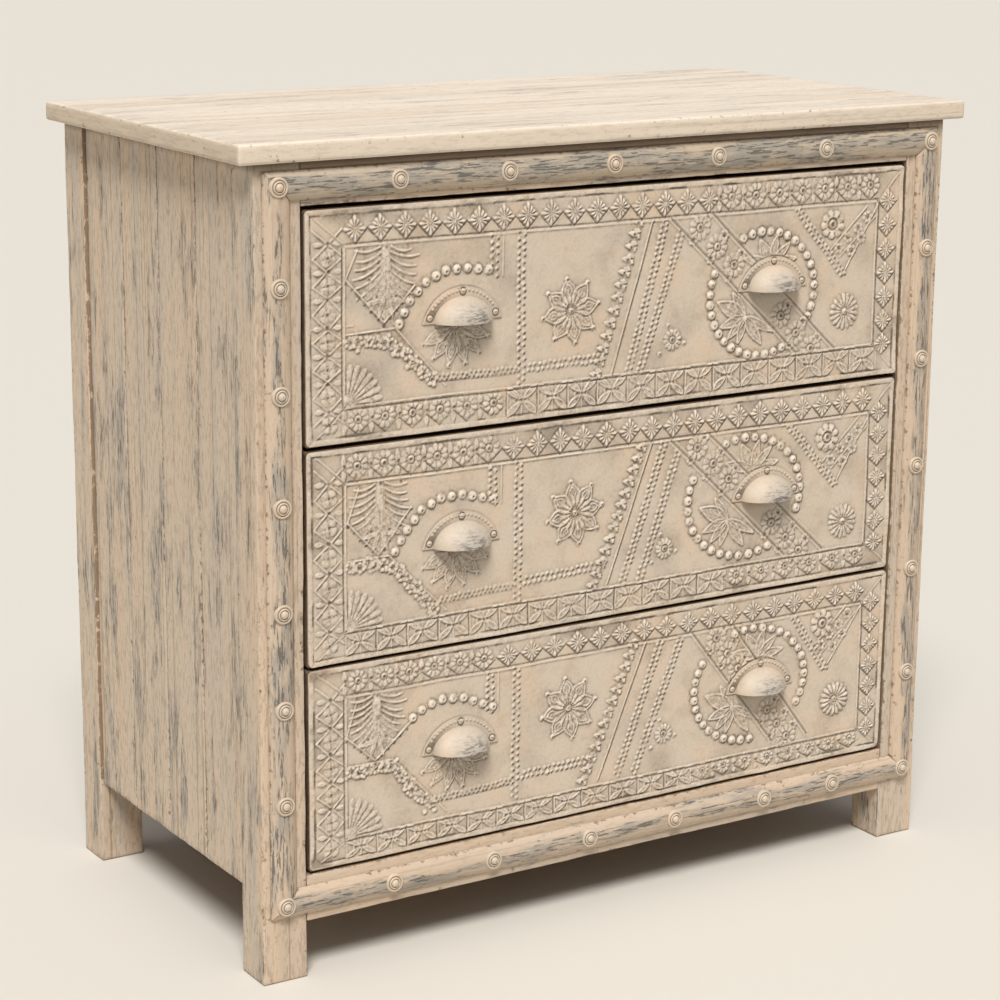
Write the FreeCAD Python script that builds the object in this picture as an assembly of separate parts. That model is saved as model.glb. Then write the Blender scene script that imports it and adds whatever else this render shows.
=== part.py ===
import FreeCAD, Part
import math
import os

# A chest of three drawers: a post and rail carcass with boarded sides, a half-round
# moulding with rosette studs around its front, and three boxed drawers whose fronts
# are covered with embossed sheet and opened by cup pulls.
# Frame: X to the right, Y to the back, Z up, in millimetres. The origin is on the floor,
# at the centre of the whole chest's box.

# Carcass
body_width = 900.0            # over the outer faces of the posts
body_depth = 468.0            # front of the front posts to the back of the back posts
post_width = 53.0             # seen from the front
post_depth = 50.0             # seen from the side
post_edge_round = 2.0
leg_height = 64.0             # floor to the underside of the bottom rails
bottom_rail_height = 52.0
top_rail_height = 46.0
rail_thickness = 26.0
rail_tenon_length = 25.0
rail_tenon_thickness = 10.0
rail_tenon_shoulder = 8.0     # rail left above and below its tenon

# Top board
top_thickness = 21.0
top_side_overhang = 22.0
top_front_overhang = 12.0
top_edge_round = 5.0
post_tenon_side = 28.0        # square stub on each post, housed in the top board
post_tenon_height = 10.0

# Boarded sides
boards_per_side = 4
side_board_thickness = 18.0
side_recess = 4.0             # boards stand back from the posts' outer faces
side_lower_edge = 97.0        # floor to the lower ends of the boards
tongue_thickness = 6.0
tongue_depth = 8.0

# Back
back_panel_thickness = 6.0
back_panel_recess = 12.0      # behind it the back posts stand proud
back_groove_depth = 8.0

# Drawer fronts
upper_drawer_height = 246.0
middle_drawer_height = 233.0
lower_drawer_height = 225.0
gap_above_upper = 4.0
gap_above_middle = 4.4
gap_above_lower = 3.2
gap_below_lower = 3.0
drawer_side_gap = 3.5
drawer_front_thickness = 20.0
drawer_corner_round = 3.0
sheet_thickness = 1.2
sheet_margin = 0.8            # bare edge of wood around the sheet
sheet_rim_width = 5.0
sheet_rim_height = 1.2

# Drawer boxes
box_side_thickness = 14.0
box_back_thickness = 12.0
box_bottom_thickness = 6.0
box_lift = 14.0               # lower edge of the sides above the lower edge of the front
box_drop = 14.0               # upper edge of the sides below the upper edge of the front
side_lap = 10.0               # sides let into the back of the front
bottom_groove_lift = 10.0     # underside of the bottom above the lower edge of the sides
bottom_groove_depth = 6.0
back_dado_depth = 6.0
back_end_margin = 8.0         # sides run on behind the back
back_drop = 12.0              # upper edge of the back below the upper edge of the sides

# Runners, kickers and stops
runner_thickness = 20.0
runner_ledge = 26.0           # how far they stand in from the posts
runner_front_clearance = 6.0  # behind the drawer fronts
kicker_thickness = 22.0
kicker_clearance = 3.0        # above the sides of the upper drawer
stop_length = 16.0
stop_height = 14.0
stop_clearance = 0.5

# Front moulding and its studs
moulding_width = 31.0
moulding_edge = 2.0           # flat edge that the round rises from
moulding_rise = 7.0
moulding_side_inset = 9.0     # from the outer faces of the posts
moulding_top_inset = 8.5      # below the top board
moulding_bottom_inset = 9.5   # above the underside of the bottom rail
stud_radius = 10.5
stud_skirt = 4.0              # rim reaches back over the round
stud_ring_width = 3.0
stud_outer_ring_rise = 1.5
stud_inner_ring_rise = 2.2
stud_knob_rise = 4.2
nail_radius = 1.5
nail_root = 1.0               # shank inside the stud's head
nail_bite = 8.0               # into the posts and rails behind the moulding
fastener_clearance = 0.05

# Places of the studs between the corners, as shares of each strip, set by the maker's eye
top_stud_places = (0.164, 0.320, 0.477, 0.640, 0.817)
bottom_stud_places = (0.155, 0.305, 0.457, 0.597, 0.750, 0.871)
left_stud_places = (0.148, 0.286, 0.423, 0.570, 0.723, 0.867)
right_stud_places = (0.161, 0.331, 0.497, 0.666, 0.838)

# Cup pulls
pull_spacing = 412.0          # between the centres of the two pulls of a drawer
pull_drop = 6.3               # lower edge of a pull below the middle of the drawer front
pull_width = 97.0
pull_height = 36.5
pull_plate_thickness = 2.0
cup_width = 71.0
cup_reach = 27.0              # how far the cup stands up and out
cup_wall = 2.0
pull_screw_inset = 8.0        # end screws in from the tips of the plate
pull_screw_lift = 6.3         # end screws above the lower edge
pull_top_screw_drop = 4.7     # top screw below the top of the plate
screw_head_radius = 3.4
screw_head_height = 1.8
screw_slot_width = 0.9
screw_slot_depth = 0.8
screw_shank_radius = 1.75
screw_length = 15.0
screw_hole_clearance = 0.15

# Places that follow from the sizes
half_width = body_width / 2
opening_half = half_width - post_width
moulding_reach = moulding_edge + moulding_rise
stud_reach = moulding_reach + stud_knob_rise
pull_reach = max(cup_reach, pull_plate_thickness + screw_head_height)
front_reach = max(pull_reach, stud_reach, top_front_overhang)
front_y = (front_reach - body_depth) / 2
back_y = front_y + body_depth

opening_bottom = leg_height + bottom_rail_height
lower_drawer_bottom = opening_bottom + gap_below_lower
lower_drawer_top = lower_drawer_bottom + lower_drawer_height
middle_drawer_bottom = lower_drawer_top + gap_above_lower
middle_drawer_top = middle_drawer_bottom + middle_drawer_height
upper_drawer_bottom = middle_drawer_top + gap_above_middle
upper_drawer_top = upper_drawer_bottom + upper_drawer_height
opening_top = upper_drawer_top + gap_above_upper
carcass_top = opening_top + top_rail_height

board_outer_x = half_width - side_recess
board_inner_x = board_outer_x - side_board_thickness
board_zone_front = front_y + post_depth
board_zone_back = back_y - post_depth
tongue_inner_x = board_inner_x + (side_board_thickness - tongue_thickness) / 2

back_panel_y = back_y - back_panel_recess - back_panel_thickness
back_rail_y = back_panel_y - rail_thickness

front_board_y = front_y + sheet_thickness
front_board_back = front_board_y + drawer_front_thickness
drawer_half = opening_half - drawer_side_gap
box_inner_half = drawer_half - box_side_thickness
drawer_box_end = back_rail_y - stop_length - stop_clearance
runner_front_y = max(front_board_back + runner_front_clearance, front_y + rail_thickness)
runner_inner_x = opening_half - runner_ledge

moulding_half = half_width - moulding_side_inset
moulding_top = carcass_top - moulding_top_inset
moulding_bottom = leg_height + moulding_bottom_inset
moulding_middle = (moulding_top + moulding_bottom) / 2

drawers = (
    ("upper", upper_drawer_bottom, upper_drawer_top),
    ("middle", middle_drawer_bottom, middle_drawer_top),
    ("lower", lower_drawer_bottom, lower_drawer_top),
)

parallel_tolerance = 1e-6     # sine of the angle between parallel directions

Vec = FreeCAD.Vector
origin = Vec(0, 0, 0)
along_x = Vec(1, 0, 0)
along_y = Vec(0, 1, 0)
along_z = Vec(0, 0, 1)


def block(x_span, y_span, z_span):
    """A square-edged piece between two places along each axis."""
    low = Vec(x_span[0], y_span[0], z_span[0])
    return Part.makeBox(x_span[1] - x_span[0], y_span[1] - y_span[0], z_span[1] - z_span[0], low)


def runs_along(edge, direction):
    """Whether a straight edge lies along a direction."""
    return edge.tangentAt(edge.FirstParameter).cross(direction).Length < parallel_tolerance


def rounded_along(shape, direction, radius):
    """The shape with its edges along one direction rounded."""
    edges = [edge for edge in shape.Edges if runs_along(edge, direction)]
    return shape.makeFillet(radius, edges)


def mirrored(shape):
    """The same piece on the other side of the chest."""
    return shape.mirror(origin, along_x)


def disc(x, y, z, radius, length):
    """A round bar that runs back from a point."""
    return Part.makeCylinder(radius, length, Vec(x, y, z), along_y)


def dome_arc(rim_radius, rim_y, tip_y):
    """The profile of a round crown, from its rim to its tip on the Y axis."""
    rise = rim_y - tip_y
    crown = (rim_radius ** 2 + rise ** 2) / (2 * rise)
    half_angle = math.atan2(rim_radius, crown - rise) / 2
    midway = Vec(crown * math.sin(half_angle), tip_y + crown * (1 - math.cos(half_angle)), 0)
    return Part.Arc(Vec(rim_radius, rim_y, 0), midway, Vec(0, tip_y, 0))


def save(shape, name):
    os.makedirs("parts", exist_ok=True)
    shape.exportStep("parts/" + name + ".step")


# Posts, rails and top board

def rail(y_start, low, high):
    """A rail between two posts, with a tenon at each end."""
    body = block((-opening_half, opening_half), (y_start, y_start + rail_thickness), (low, high))
    tenon_y = y_start + (rail_thickness - rail_tenon_thickness) / 2
    tenon_end = opening_half + rail_tenon_length
    tenon = block(
        (-tenon_end, tenon_end),
        (tenon_y, tenon_y + rail_tenon_thickness),
        (low + rail_tenon_shoulder, high - rail_tenon_shoulder),
    )
    return body.fuse(tenon).removeSplitter()


def left_post(y_start, board_face_y, into_post, other_pieces):
    """A left post, with its stub for the top, its groove for the boards and its mortises."""
    x_start = -half_width
    post = block((x_start, x_start + post_width), (y_start, y_start + post_depth), (0, carcass_top))
    post = rounded_along(post, along_z, post_edge_round)
    middle_x = x_start + post_width / 2
    middle_y = y_start + post_depth / 2
    half_stub = post_tenon_side / 2
    stub = block(
        (middle_x - half_stub, middle_x + half_stub),
        (middle_y - half_stub, middle_y + half_stub),
        (carcass_top, carcass_top + post_tenon_height),
    )
    groove_y = sorted((board_face_y, board_face_y + into_post * tongue_depth))
    groove = block(
        (-tongue_inner_x - tongue_thickness, -tongue_inner_x), groove_y, (side_lower_edge, carcass_top)
    )
    post = post.fuse(stub).cut(groove)
    for piece in other_pieces:
        post = post.cut(piece)
    return post


def top_board(posts):
    """The top, with rounded edges, housed over the stubs of the posts."""
    half = half_width + top_side_overhang
    board = block(
        (-half, half),
        (front_y - top_front_overhang, back_y),
        (carcass_top, carcass_top + top_thickness),
    )
    board = board.makeFillet(top_edge_round, board.Edges)
    for post in posts:
        board = board.cut(post)
    return board


def back_panel():
    """A thin panel held in grooves of the back posts, behind the back rails."""
    half = opening_half + back_groove_depth
    return block(
        (-half, half), (back_panel_y, back_panel_y + back_panel_thickness), (leg_height, carcass_top)
    )


def left_side_boards():
    """Upright boards from front to back, each with a tongue in the piece before it."""
    width = (board_zone_back - board_zone_front) / boards_per_side
    outer_span = (-board_outer_x, -board_inner_x)
    tongue_span = (-tongue_inner_x - tongue_thickness, -tongue_inner_x)
    height = (side_lower_edge, carcass_top)
    boards = []
    for number in range(boards_per_side):
        start = board_zone_front + number * width
        end = start + width
        board = block(outer_span, (start, end), height)
        board = board.fuse(block(tongue_span, (start - tongue_depth, start), height))
        if number == boards_per_side - 1:
            board = board.fuse(block(tongue_span, (end, end + tongue_depth), height))
        else:
            board = board.cut(block(tongue_span, (end - tongue_depth, end), height))
        boards.append(board.removeSplitter())
    return boards


# Runners, kickers and stops

def left_bearer(y_start, y_end, low, high):
    """A bar along a side, notched round both posts and backed by the side boards."""
    ledge = block((-opening_half, -runner_inner_x), (y_start, y_end), (low, high))
    backing = block((-board_inner_x, -opening_half), (board_zone_front, board_zone_back), (low, high))
    return ledge.fuse(backing).removeSplitter()


def left_runner(drawer_bottom):
    top = drawer_bottom + box_lift
    return left_bearer(runner_front_y, back_rail_y, top - runner_thickness, top)


def left_kicker():
    low = upper_drawer_top - box_drop + kicker_clearance
    return left_bearer(front_y + rail_thickness, back_rail_y, low, low + kicker_thickness)


def drawer_stops():
    """Small blocks on the back ends of the runners."""
    blocks = []
    for _, bottom, _ in drawers:
        runner_top = bottom + box_lift
        stop = block(
            (-drawer_half, -box_inner_half),
            (drawer_box_end + stop_clearance, back_rail_y),
            (runner_top, runner_top + stop_height),
        )
        blocks += [stop, mirrored(stop)]
    return Part.makeCompound(blocks)


# Front moulding and its studs

def moulding_strip(length):
    """A half-round strip along X with mitred ends: outer edge at z = 0, back at y = 0."""
    edge_y = -moulding_edge
    outline = [
        Part.LineSegment(Vec(0, 0, 0), Vec(0, edge_y, 0)),
        Part.Arc(
            Vec(0, edge_y, 0),
            Vec(0, -moulding_reach, -moulding_width / 2),
            Vec(0, edge_y, -moulding_width),
        ),
        Part.LineSegment(Vec(0, edge_y, -moulding_width), Vec(0, 0, -moulding_width)),
        Part.LineSegment(Vec(0, 0, -moulding_width), Vec(0, 0, 0)),
    ]
    profile = Part.Face(Part.Wire([line.toShape() for line in outline]))
    profile.translate(Vec(-length / 2, 0, 0))
    bar = profile.extrude(Vec(length, 0, 0))
    half = length / 2
    inner_half = half - moulding_width
    corners = [
        Vec(-half, 0, 0),
        Vec(half, 0, 0),
        Vec(inner_half, 0, -moulding_width),
        Vec(-inner_half, 0, -moulding_width),
        Vec(-half, 0, 0),
    ]
    mitred = Part.Face(Part.makePolygon(corners)).extrude(Vec(0, -moulding_reach, 0))
    return bar.common(mitred)


def moulding_frame():
    """The four strips around the front, by side."""
    wide = 2 * moulding_half
    tall = moulding_top - moulding_bottom
    sides = (
        ("top", wide, 0, Vec(0, front_y, moulding_top)),
        ("right", tall, 90, Vec(moulding_half, front_y, moulding_middle)),
        ("bottom", wide, 180, Vec(0, front_y, moulding_bottom)),
        ("left", tall, 270, Vec(-moulding_half, front_y, moulding_middle)),
    )
    strips = {}
    for side, length, angle, place in sides:
        strip = moulding_strip(length)
        strip.rotate(origin, along_y, angle)
        strip.translate(place)
        strips[side] = strip
    return strips


def stud_centres():
    """Where the studs stand along the middle of the moulding: the corners, then each side."""
    left = -moulding_half + moulding_width / 2
    right = -left
    low = moulding_bottom + moulding_width / 2
    high = moulding_top - moulding_width / 2
    centres = [(left, low), (left, high), (right, low), (right, high)]
    centres += [(left + share * (right - left), high) for share in top_stud_places]
    centres += [(left + share * (right - left), low) for share in bottom_stud_places]
    centres += [(left, low + share * (high - low)) for share in left_stud_places]
    centres += [(right, low + share * (high - low)) for share in right_stud_places]
    return centres


def rosette_stud():
    """A nail with a head of two rings and a knob, standing on y = 0 and facing -Y."""
    inner_edge = stud_radius - stud_ring_width
    knob_edge = inner_edge - stud_ring_width
    outline = [
        Part.LineSegment(Vec(0, stud_skirt, 0), Vec(stud_radius, stud_skirt, 0)),
        Part.LineSegment(Vec(stud_radius, stud_skirt, 0), Vec(stud_radius, 0, 0)),
        Part.Arc(
            Vec(stud_radius, 0, 0),
            Vec((stud_radius + inner_edge) / 2, -stud_outer_ring_rise, 0),
            Vec(inner_edge, -stud_outer_ring_rise / 2, 0),
        ),
        Part.Arc(
            Vec(inner_edge, -stud_outer_ring_rise / 2, 0),
            Vec((inner_edge + knob_edge) / 2, -stud_inner_ring_rise, 0),
            Vec(knob_edge, -stud_inner_ring_rise / 2, 0),
        ),
        dome_arc(knob_edge, -stud_inner_ring_rise / 2, -stud_knob_rise),
        Part.LineSegment(Vec(0, -stud_knob_rise, 0), Vec(0, stud_skirt, 0)),
    ]
    profile = Part.Face(Part.Wire([line.toShape() for line in outline]))
    return profile.revolve(origin, along_y, 360)


def stud_nails(radius):
    """The shanks of all the studs, at a radius."""
    start_y = front_y - moulding_reach - nail_root
    length = nail_root + moulding_reach + nail_bite
    return [disc(x, start_y, z, radius, length) for x, z in stud_centres()]


def rosette_studs(strips):
    """All the studs: heads shaped to the round of the moulding, on their nails."""
    heads = []
    shape = rosette_stud()
    for (x, z), nail in zip(stud_centres(), stud_nails(nail_radius)):
        head = shape.copy()
        head.translate(Vec(x, front_y - moulding_reach, z))
        for strip in strips.values():
            head = head.cut(strip)
        heads.append(max(head.Solids, key=lambda solid: solid.Volume).fuse(nail))
    return Part.makeCompound(heads)


# Cup pulls

def half_ellipse(half_length, reach):
    """The front half of an ellipse across y = 0, from left to right."""
    ellipse = Part.Ellipse(origin, half_length, reach)
    return Part.ArcOfEllipse(ellipse, math.pi, 2 * math.pi).toShape()


def quarter_turned(edges):
    """A flat outline in front of the X axis, turned up about that axis to stand on y = 0."""
    face = Part.Face(Part.Wire(Part.sortEdges(edges)[0]))
    return face.revolve(origin, Vec(-1, 0, 0), 90)


def cup_pull():
    """A cup open at the bottom, on a bow-topped plate: lower edge at z = 0, back at y = 0."""
    half_cup = cup_width / 2
    half_hollow = half_cup - cup_wall
    outer = half_ellipse(half_cup, cup_reach)
    inner = half_ellipse(half_hollow, cup_reach - cup_wall)
    across = Part.makeLine(Vec(-half_cup, 0, 0), Vec(half_cup, 0, 0))
    left_end = Part.makeLine(Vec(-half_cup, 0, 0), Vec(-half_hollow, 0, 0))
    right_end = Part.makeLine(Vec(half_hollow, 0, 0), Vec(half_cup, 0, 0))
    whole_cup = quarter_turned([outer, across])
    cup = quarter_turned([outer, right_end, inner, left_end])
    half = pull_width / 2
    outline = [
        Part.LineSegment(Vec(-half, 0, 0), Vec(half, 0, 0)).toShape(),
        Part.Arc(Vec(half, 0, 0), Vec(0, 0, pull_height), Vec(-half, 0, 0)).toShape(),
    ]
    plate = Part.Face(Part.Wire(outline)).extrude(Vec(0, -pull_plate_thickness, 0))
    pull = plate.cut(whole_cup).fuse(cup).removeSplitter()
    hole_radius = screw_shank_radius + screw_hole_clearance
    for x, z in pull_screw_places():
        pull = pull.cut(disc(x, -pull_plate_thickness, z, hole_radius, pull_plate_thickness))
    return pull


def pull_screw_places():
    """Two end screws and a top screw, measured from the middle of a pull's lower edge."""
    end_x = pull_width / 2 - pull_screw_inset
    return ((-end_x, pull_screw_lift), (end_x, pull_screw_lift), (0, pull_height - pull_top_screw_drop))


def pull_screw():
    """A slotted round-head screw facing -Y, its head standing on y = 0."""
    outline = [
        Part.LineSegment(origin, Vec(screw_head_radius, 0, 0)),
        dome_arc(screw_head_radius, 0, -screw_head_height),
        Part.LineSegment(Vec(0, -screw_head_height, 0), origin),
    ]
    head = Part.Face(Part.Wire([line.toShape() for line in outline])).revolve(origin, along_y, 360)
    slot = block(
        (-screw_head_radius, screw_head_radius),
        (-screw_head_height, -screw_head_height + screw_slot_depth),
        (-screw_slot_width / 2, screw_slot_width / 2),
    )
    return head.cut(slot).fuse(disc(0, 0, 0, screw_shank_radius, screw_length))


def pull_places(bottom, top):
    """The middles of the lower edges of a drawer's left and right pulls."""
    height = (bottom + top) / 2 - pull_drop
    return Vec(-pull_spacing / 2, front_y, height), Vec(pull_spacing / 2, front_y, height)


def screw_seats(bottom, top):
    """Where the heads of a drawer's pull screws sit on the plates of its pulls."""
    seats = []
    for place in pull_places(bottom, top):
        seats += [place + Vec(x, -pull_plate_thickness, z) for x, z in pull_screw_places()]
    return seats


def drawer_pull_screws(bottom, top):
    screws = []
    for seat in screw_seats(bottom, top):
        screw = pull_screw()
        screw.translate(seat)
        screws.append(screw)
    return Part.makeCompound(screws)


def screw_holes(bottom, top, clearance):
    radius = screw_shank_radius + clearance
    return [disc(seat.x, seat.y, seat.z, radius, screw_length) for seat in screw_seats(bottom, top)]


# Drawers

def drawer_side(bottom, top):
    """A left side, let into the front, with a groove for the bottom and a dado for the back."""
    low = bottom + box_lift
    high = top - box_drop
    side = block((-drawer_half, -box_inner_half), (front_board_back - side_lap, drawer_box_end), (low, high))
    return side.cut(drawer_bottom(bottom)).cut(drawer_back(bottom, top))


def drawer_bottom(bottom):
    low = bottom + box_lift + bottom_groove_lift
    half = box_inner_half + bottom_groove_depth
    return block(
        (-half, half),
        (front_board_back - bottom_groove_depth, drawer_box_end - back_end_margin),
        (low, low + box_bottom_thickness),
    )


def drawer_back(bottom, top):
    """The back of the box: it stands on the bottom, between the sides."""
    low = bottom + box_lift + bottom_groove_lift + box_bottom_thickness
    high = top - box_drop - back_drop
    half = box_inner_half + back_dado_depth
    end = drawer_box_end - back_end_margin
    return block((-half, half), (end - box_back_thickness, end), (low, high))


def drawer_front(bottom, top):
    """The wooden front, cut for the sides, the bottom and the pull screws."""
    front = block((-drawer_half, drawer_half), (front_board_y, front_board_back), (bottom, top))
    front = rounded_along(front, along_y, drawer_corner_round)
    side = drawer_side(bottom, top)
    front = front.cut(side).cut(mirrored(side)).cut(drawer_bottom(bottom))
    for hole in screw_holes(bottom, top, fastener_clearance):
        front = front.cut(hole)
    return front


def drawer_sheet(bottom, top):
    """The metal sheet on the front, with a raised rim all round."""
    half = drawer_half - sheet_margin
    low = bottom + sheet_margin
    high = top - sheet_margin
    sheet = block((-half, half), (front_y - sheet_rim_height, front_board_y), (low, high))
    sheet = rounded_along(sheet, along_y, drawer_corner_round)
    hollow = block(
        (-half + sheet_rim_width, half - sheet_rim_width),
        (front_y - sheet_rim_height, front_y),
        (low + sheet_rim_width, high - sheet_rim_width),
    )
    sheet = sheet.cut(hollow)
    for hole in screw_holes(bottom, top, screw_hole_clearance):
        sheet = sheet.cut(hole)
    return sheet


# The carcass

front_rails = {
    "front_top_rail": rail(front_y, opening_top, carcass_top),
    "front_bottom_rail": rail(front_y, leg_height, opening_bottom),
}
back_rails = {
    "back_top_rail": rail(back_rail_y, opening_top, carcass_top),
    "back_bottom_rail": rail(back_rail_y, leg_height, opening_bottom),
}
panel = back_panel()
mouldings = moulding_frame()
studs = rosette_studs(mouldings)
nail_holes = stud_nails(nail_radius + fastener_clearance)

front_post = left_post(front_y, board_zone_front, -1, front_rails.values())
back_post = left_post(back_y - post_depth, board_zone_back, 1, [*back_rails.values(), panel])
nailed = {"front_left_post": front_post, "front_right_post": mirrored(front_post), **front_rails}
nailed.update({side + "_moulding": strip for side, strip in mouldings.items()})
for name, piece in nailed.items():
    for hole in nail_holes:
        piece = piece.cut(hole)
    save(piece, name)

save(back_post, "back_left_post")
save(mirrored(back_post), "back_right_post")
for name, piece in back_rails.items():
    save(piece, name)
save(panel, "back_panel")
save(top_board([front_post, mirrored(front_post), back_post, mirrored(back_post)]), "top_board")
save(studs, "rosette_studs")
for number, board in enumerate(left_side_boards(), 1):
    save(board, "left_side_board_" + str(number))
    save(mirrored(board), "right_side_board_" + str(number))
save(left_kicker(), "left_kicker")
save(mirrored(left_kicker()), "right_kicker")
save(drawer_stops(), "drawer_stops")

# The drawers

for level, bottom, top in drawers:
    runner = left_runner(bottom)
    save(runner, level + "_left_runner")
    save(mirrored(runner), level + "_right_runner")
    side = drawer_side(bottom, top)
    save(drawer_front(bottom, top), level + "_drawer_front")
    save(drawer_sheet(bottom, top), level + "_drawer_sheet")
    save(side, level + "_drawer_left_side")
    save(mirrored(side), level + "_drawer_right_side")
    save(drawer_back(bottom, top), level + "_drawer_back")
    save(drawer_bottom(bottom), level + "_drawer_bottom")
    for hand, place in zip(("left", "right"), pull_places(bottom, top)):
        pull = cup_pull()
        pull.translate(place)
        save(pull, level + "_" + hand + "_pull")
    save(drawer_pull_screws(bottom, top), level + "_pull_screws")

print("overall height", carcass_top + top_thickness)
print("front of the posts at y", front_y)
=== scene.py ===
import math

import bmesh
import bpy
import numpy as np
from mathutils import Matrix, Vector, noise


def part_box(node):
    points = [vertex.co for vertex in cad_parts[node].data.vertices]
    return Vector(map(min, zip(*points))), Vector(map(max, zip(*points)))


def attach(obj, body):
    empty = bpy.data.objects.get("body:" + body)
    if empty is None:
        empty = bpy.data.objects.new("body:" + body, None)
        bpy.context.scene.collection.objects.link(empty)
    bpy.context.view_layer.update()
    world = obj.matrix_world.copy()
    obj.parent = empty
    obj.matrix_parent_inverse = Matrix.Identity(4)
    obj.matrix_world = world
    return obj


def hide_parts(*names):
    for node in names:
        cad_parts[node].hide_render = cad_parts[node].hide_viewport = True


# A chest of three drawers in limewashed wood, with embossed sheet and cup pulls on the drawer fronts.
# Everything is in metres in the chest's own frame: X to the right, Y to the back, Z up.

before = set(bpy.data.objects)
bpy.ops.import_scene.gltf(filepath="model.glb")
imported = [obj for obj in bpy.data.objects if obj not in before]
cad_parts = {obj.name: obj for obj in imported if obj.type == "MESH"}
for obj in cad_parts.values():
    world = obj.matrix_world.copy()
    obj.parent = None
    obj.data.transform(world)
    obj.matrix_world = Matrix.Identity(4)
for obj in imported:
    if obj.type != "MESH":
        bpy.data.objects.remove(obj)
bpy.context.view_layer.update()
mm = 0.001
full_turn = 2 * math.pi

# Places read from the frame
levels = ("upper", "middle", "lower")
board_count = 4
top_low, top_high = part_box("top_board")
post_low, post_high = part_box("front_left_post")
carcass_top = top_low.z
feet_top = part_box("left_side_board_1")[0].z
front_y = post_low.y
boards_start = post_high.y
boards_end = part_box("back_left_post")[0].y
opening_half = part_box("front_right_post")[0].x

# Seeds: each piece counts on from one of these, which gives it a wear of its own
top_seed = 1
post_seed = 2
rail_seed = 7
board_seed = 12
moulding_seed = 31
sheet_seed = 50

# Finish of the wood
post_round = 1.3 * mm
board_round = 1.1 * mm
top_round = 3.6 * mm
edge_band = 6 * mm            # how far rubbing reaches in from an edge
edge_fall = 2.5 * mm
cell_length = 18 * mm         # spacing of the points that the wear moves
rub_depth = 0.9 * mm
wear_patches = 9              # coarse changes of the wear in a metre
wear_nicks = 60               # fine ones
plane_marks = 0.25 * mm       # unevenness left by the plane
paint_bump = 0.3 * mm         # depth of the grain in the limewash
planed_bump = 0.15 * mm       # depth of the pores in bare wood
crown_cover = 0.20            # how much more of the grey shows on the crown of a moulding
# Painted shadow under the overhang of the top: how far it reaches down and how dark it is
overhang_shade = 13 * mm      # how far the dark line under the overhang of the top reaches down
shade_strength = 0.8
# A hidden face is unpainted and dark; around the drawers' opening it stands in for shade in the gaps
bare_depth = 0.3 * mm         # how deep the unpainted skin of a hidden face is
weld_distance = 1e-6
# Painted shade and dirt in joints: how far it reaches, and how open a place is where it starts and where it
# is full
joint_shade_and_dirt = (9 * mm, 0.62, 0.22)
# Under the overhang of the top this darkening is painted shadow of the top
top_rail_shade_and_dirt = (32 * mm, 0.95, 0.35)    # the same under the overhang of the top

# Colours, as linear light
cream_wash = (0.615, 0.50, 0.382, 1)
# The front wash is darker, for faces towards the front, as painted shade
front_shade_wash = (0.56, 0.435, 0.322, 1)
pale_wash = (0.80, 0.705, 0.595, 1)
warm_wash = (0.64, 0.49, 0.355, 1)
cool_wash = (0.50, 0.45, 0.385, 1)
end_wash = (0.55, 0.43, 0.31, 1)
streak_grey = (0.25, 0.245, 0.225, 1)
streak_dark = (0.07, 0.07, 0.066, 1)
grain_brown = (0.25, 0.19, 0.13, 1)
bare_edge_and_shade = (0.19, 0.12, 0.066, 1)
shade_brown = (0.06, 0.037, 0.02, 1)
shaded_wash = (0.49, 0.395, 0.295, 1)


# Meshes

def store(mesh, name, values):
    """Keep one number for each point of a mesh, for its material to read."""
    attribute = mesh.attributes.new(name, "FLOAT", "POINT")
    attribute.data.foreach_set("value", np.asarray(values, np.float32).ravel())


def points_of(mesh):
    """The places of a mesh's points, one to a row."""
    places = np.empty(len(mesh.vertices) * 3, np.float32)
    mesh.vertices.foreach_get("co", places)
    return places.reshape(-1, 3)


def mesh_from(bm, name, sharp_angle=math.radians(50)):
    """The finished mesh of a piece, smooth but for its sharp edges."""
    bmesh.ops.remove_doubles(bm, verts=bm.verts, dist=weld_distance)
    bmesh.ops.recalc_face_normals(bm, faces=bm.faces)
    mesh = bpy.data.meshes.new(name)
    bm.to_mesh(mesh)
    bm.free()
    mesh.shade_smooth()
    mesh.set_sharp_from_angle(angle=sharp_angle)
    return mesh


def add_piece(mesh, material, body, slot, *nodes):
    """Show a mesh as a piece that rides on a body and stands for CAD nodes."""
    mesh.materials.append(material)
    piece = bpy.data.objects.new(mesh.name, mesh)
    bpy.context.scene.collection.objects.link(piece)
    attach(piece, body)
    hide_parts(*nodes)


def cut_across(bm, axis, place):
    """Cut a bmesh with a plane square to an axis."""
    normal = Vector((0, 0, 0))
    normal[axis] = 1
    geometry = bm.verts[:] + bm.edges[:] + bm.faces[:]
    bmesh.ops.bisect_plane(bm, geom=geometry, plane_co=normal * place, plane_no=normal)


def plank(low, high, edge_round):
    """A bevelled piece of wood between two corners, cut into cells that wear can move."""
    size = high - low
    bm = bmesh.new()
    bmesh.ops.create_cube(bm, size=1)
    bmesh.ops.scale(bm, vec=size, verts=bm.verts)
    bmesh.ops.translate(bm, vec=(low + high) / 2, verts=bm.verts)
    bmesh.ops.bevel(
        bm, geom=bm.edges[:], offset=edge_round, affect="EDGES", segments=3, profile=0.5, material=-1
    )
    for axis in range(3):
        if size[axis] > 3 * edge_band:
            count = 2 + int(size[axis] / cell_length)
            for place in np.linspace(low[axis] + edge_band, high[axis] - edge_band, count):
                cut_across(bm, axis, float(place))
    return bm


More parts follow.
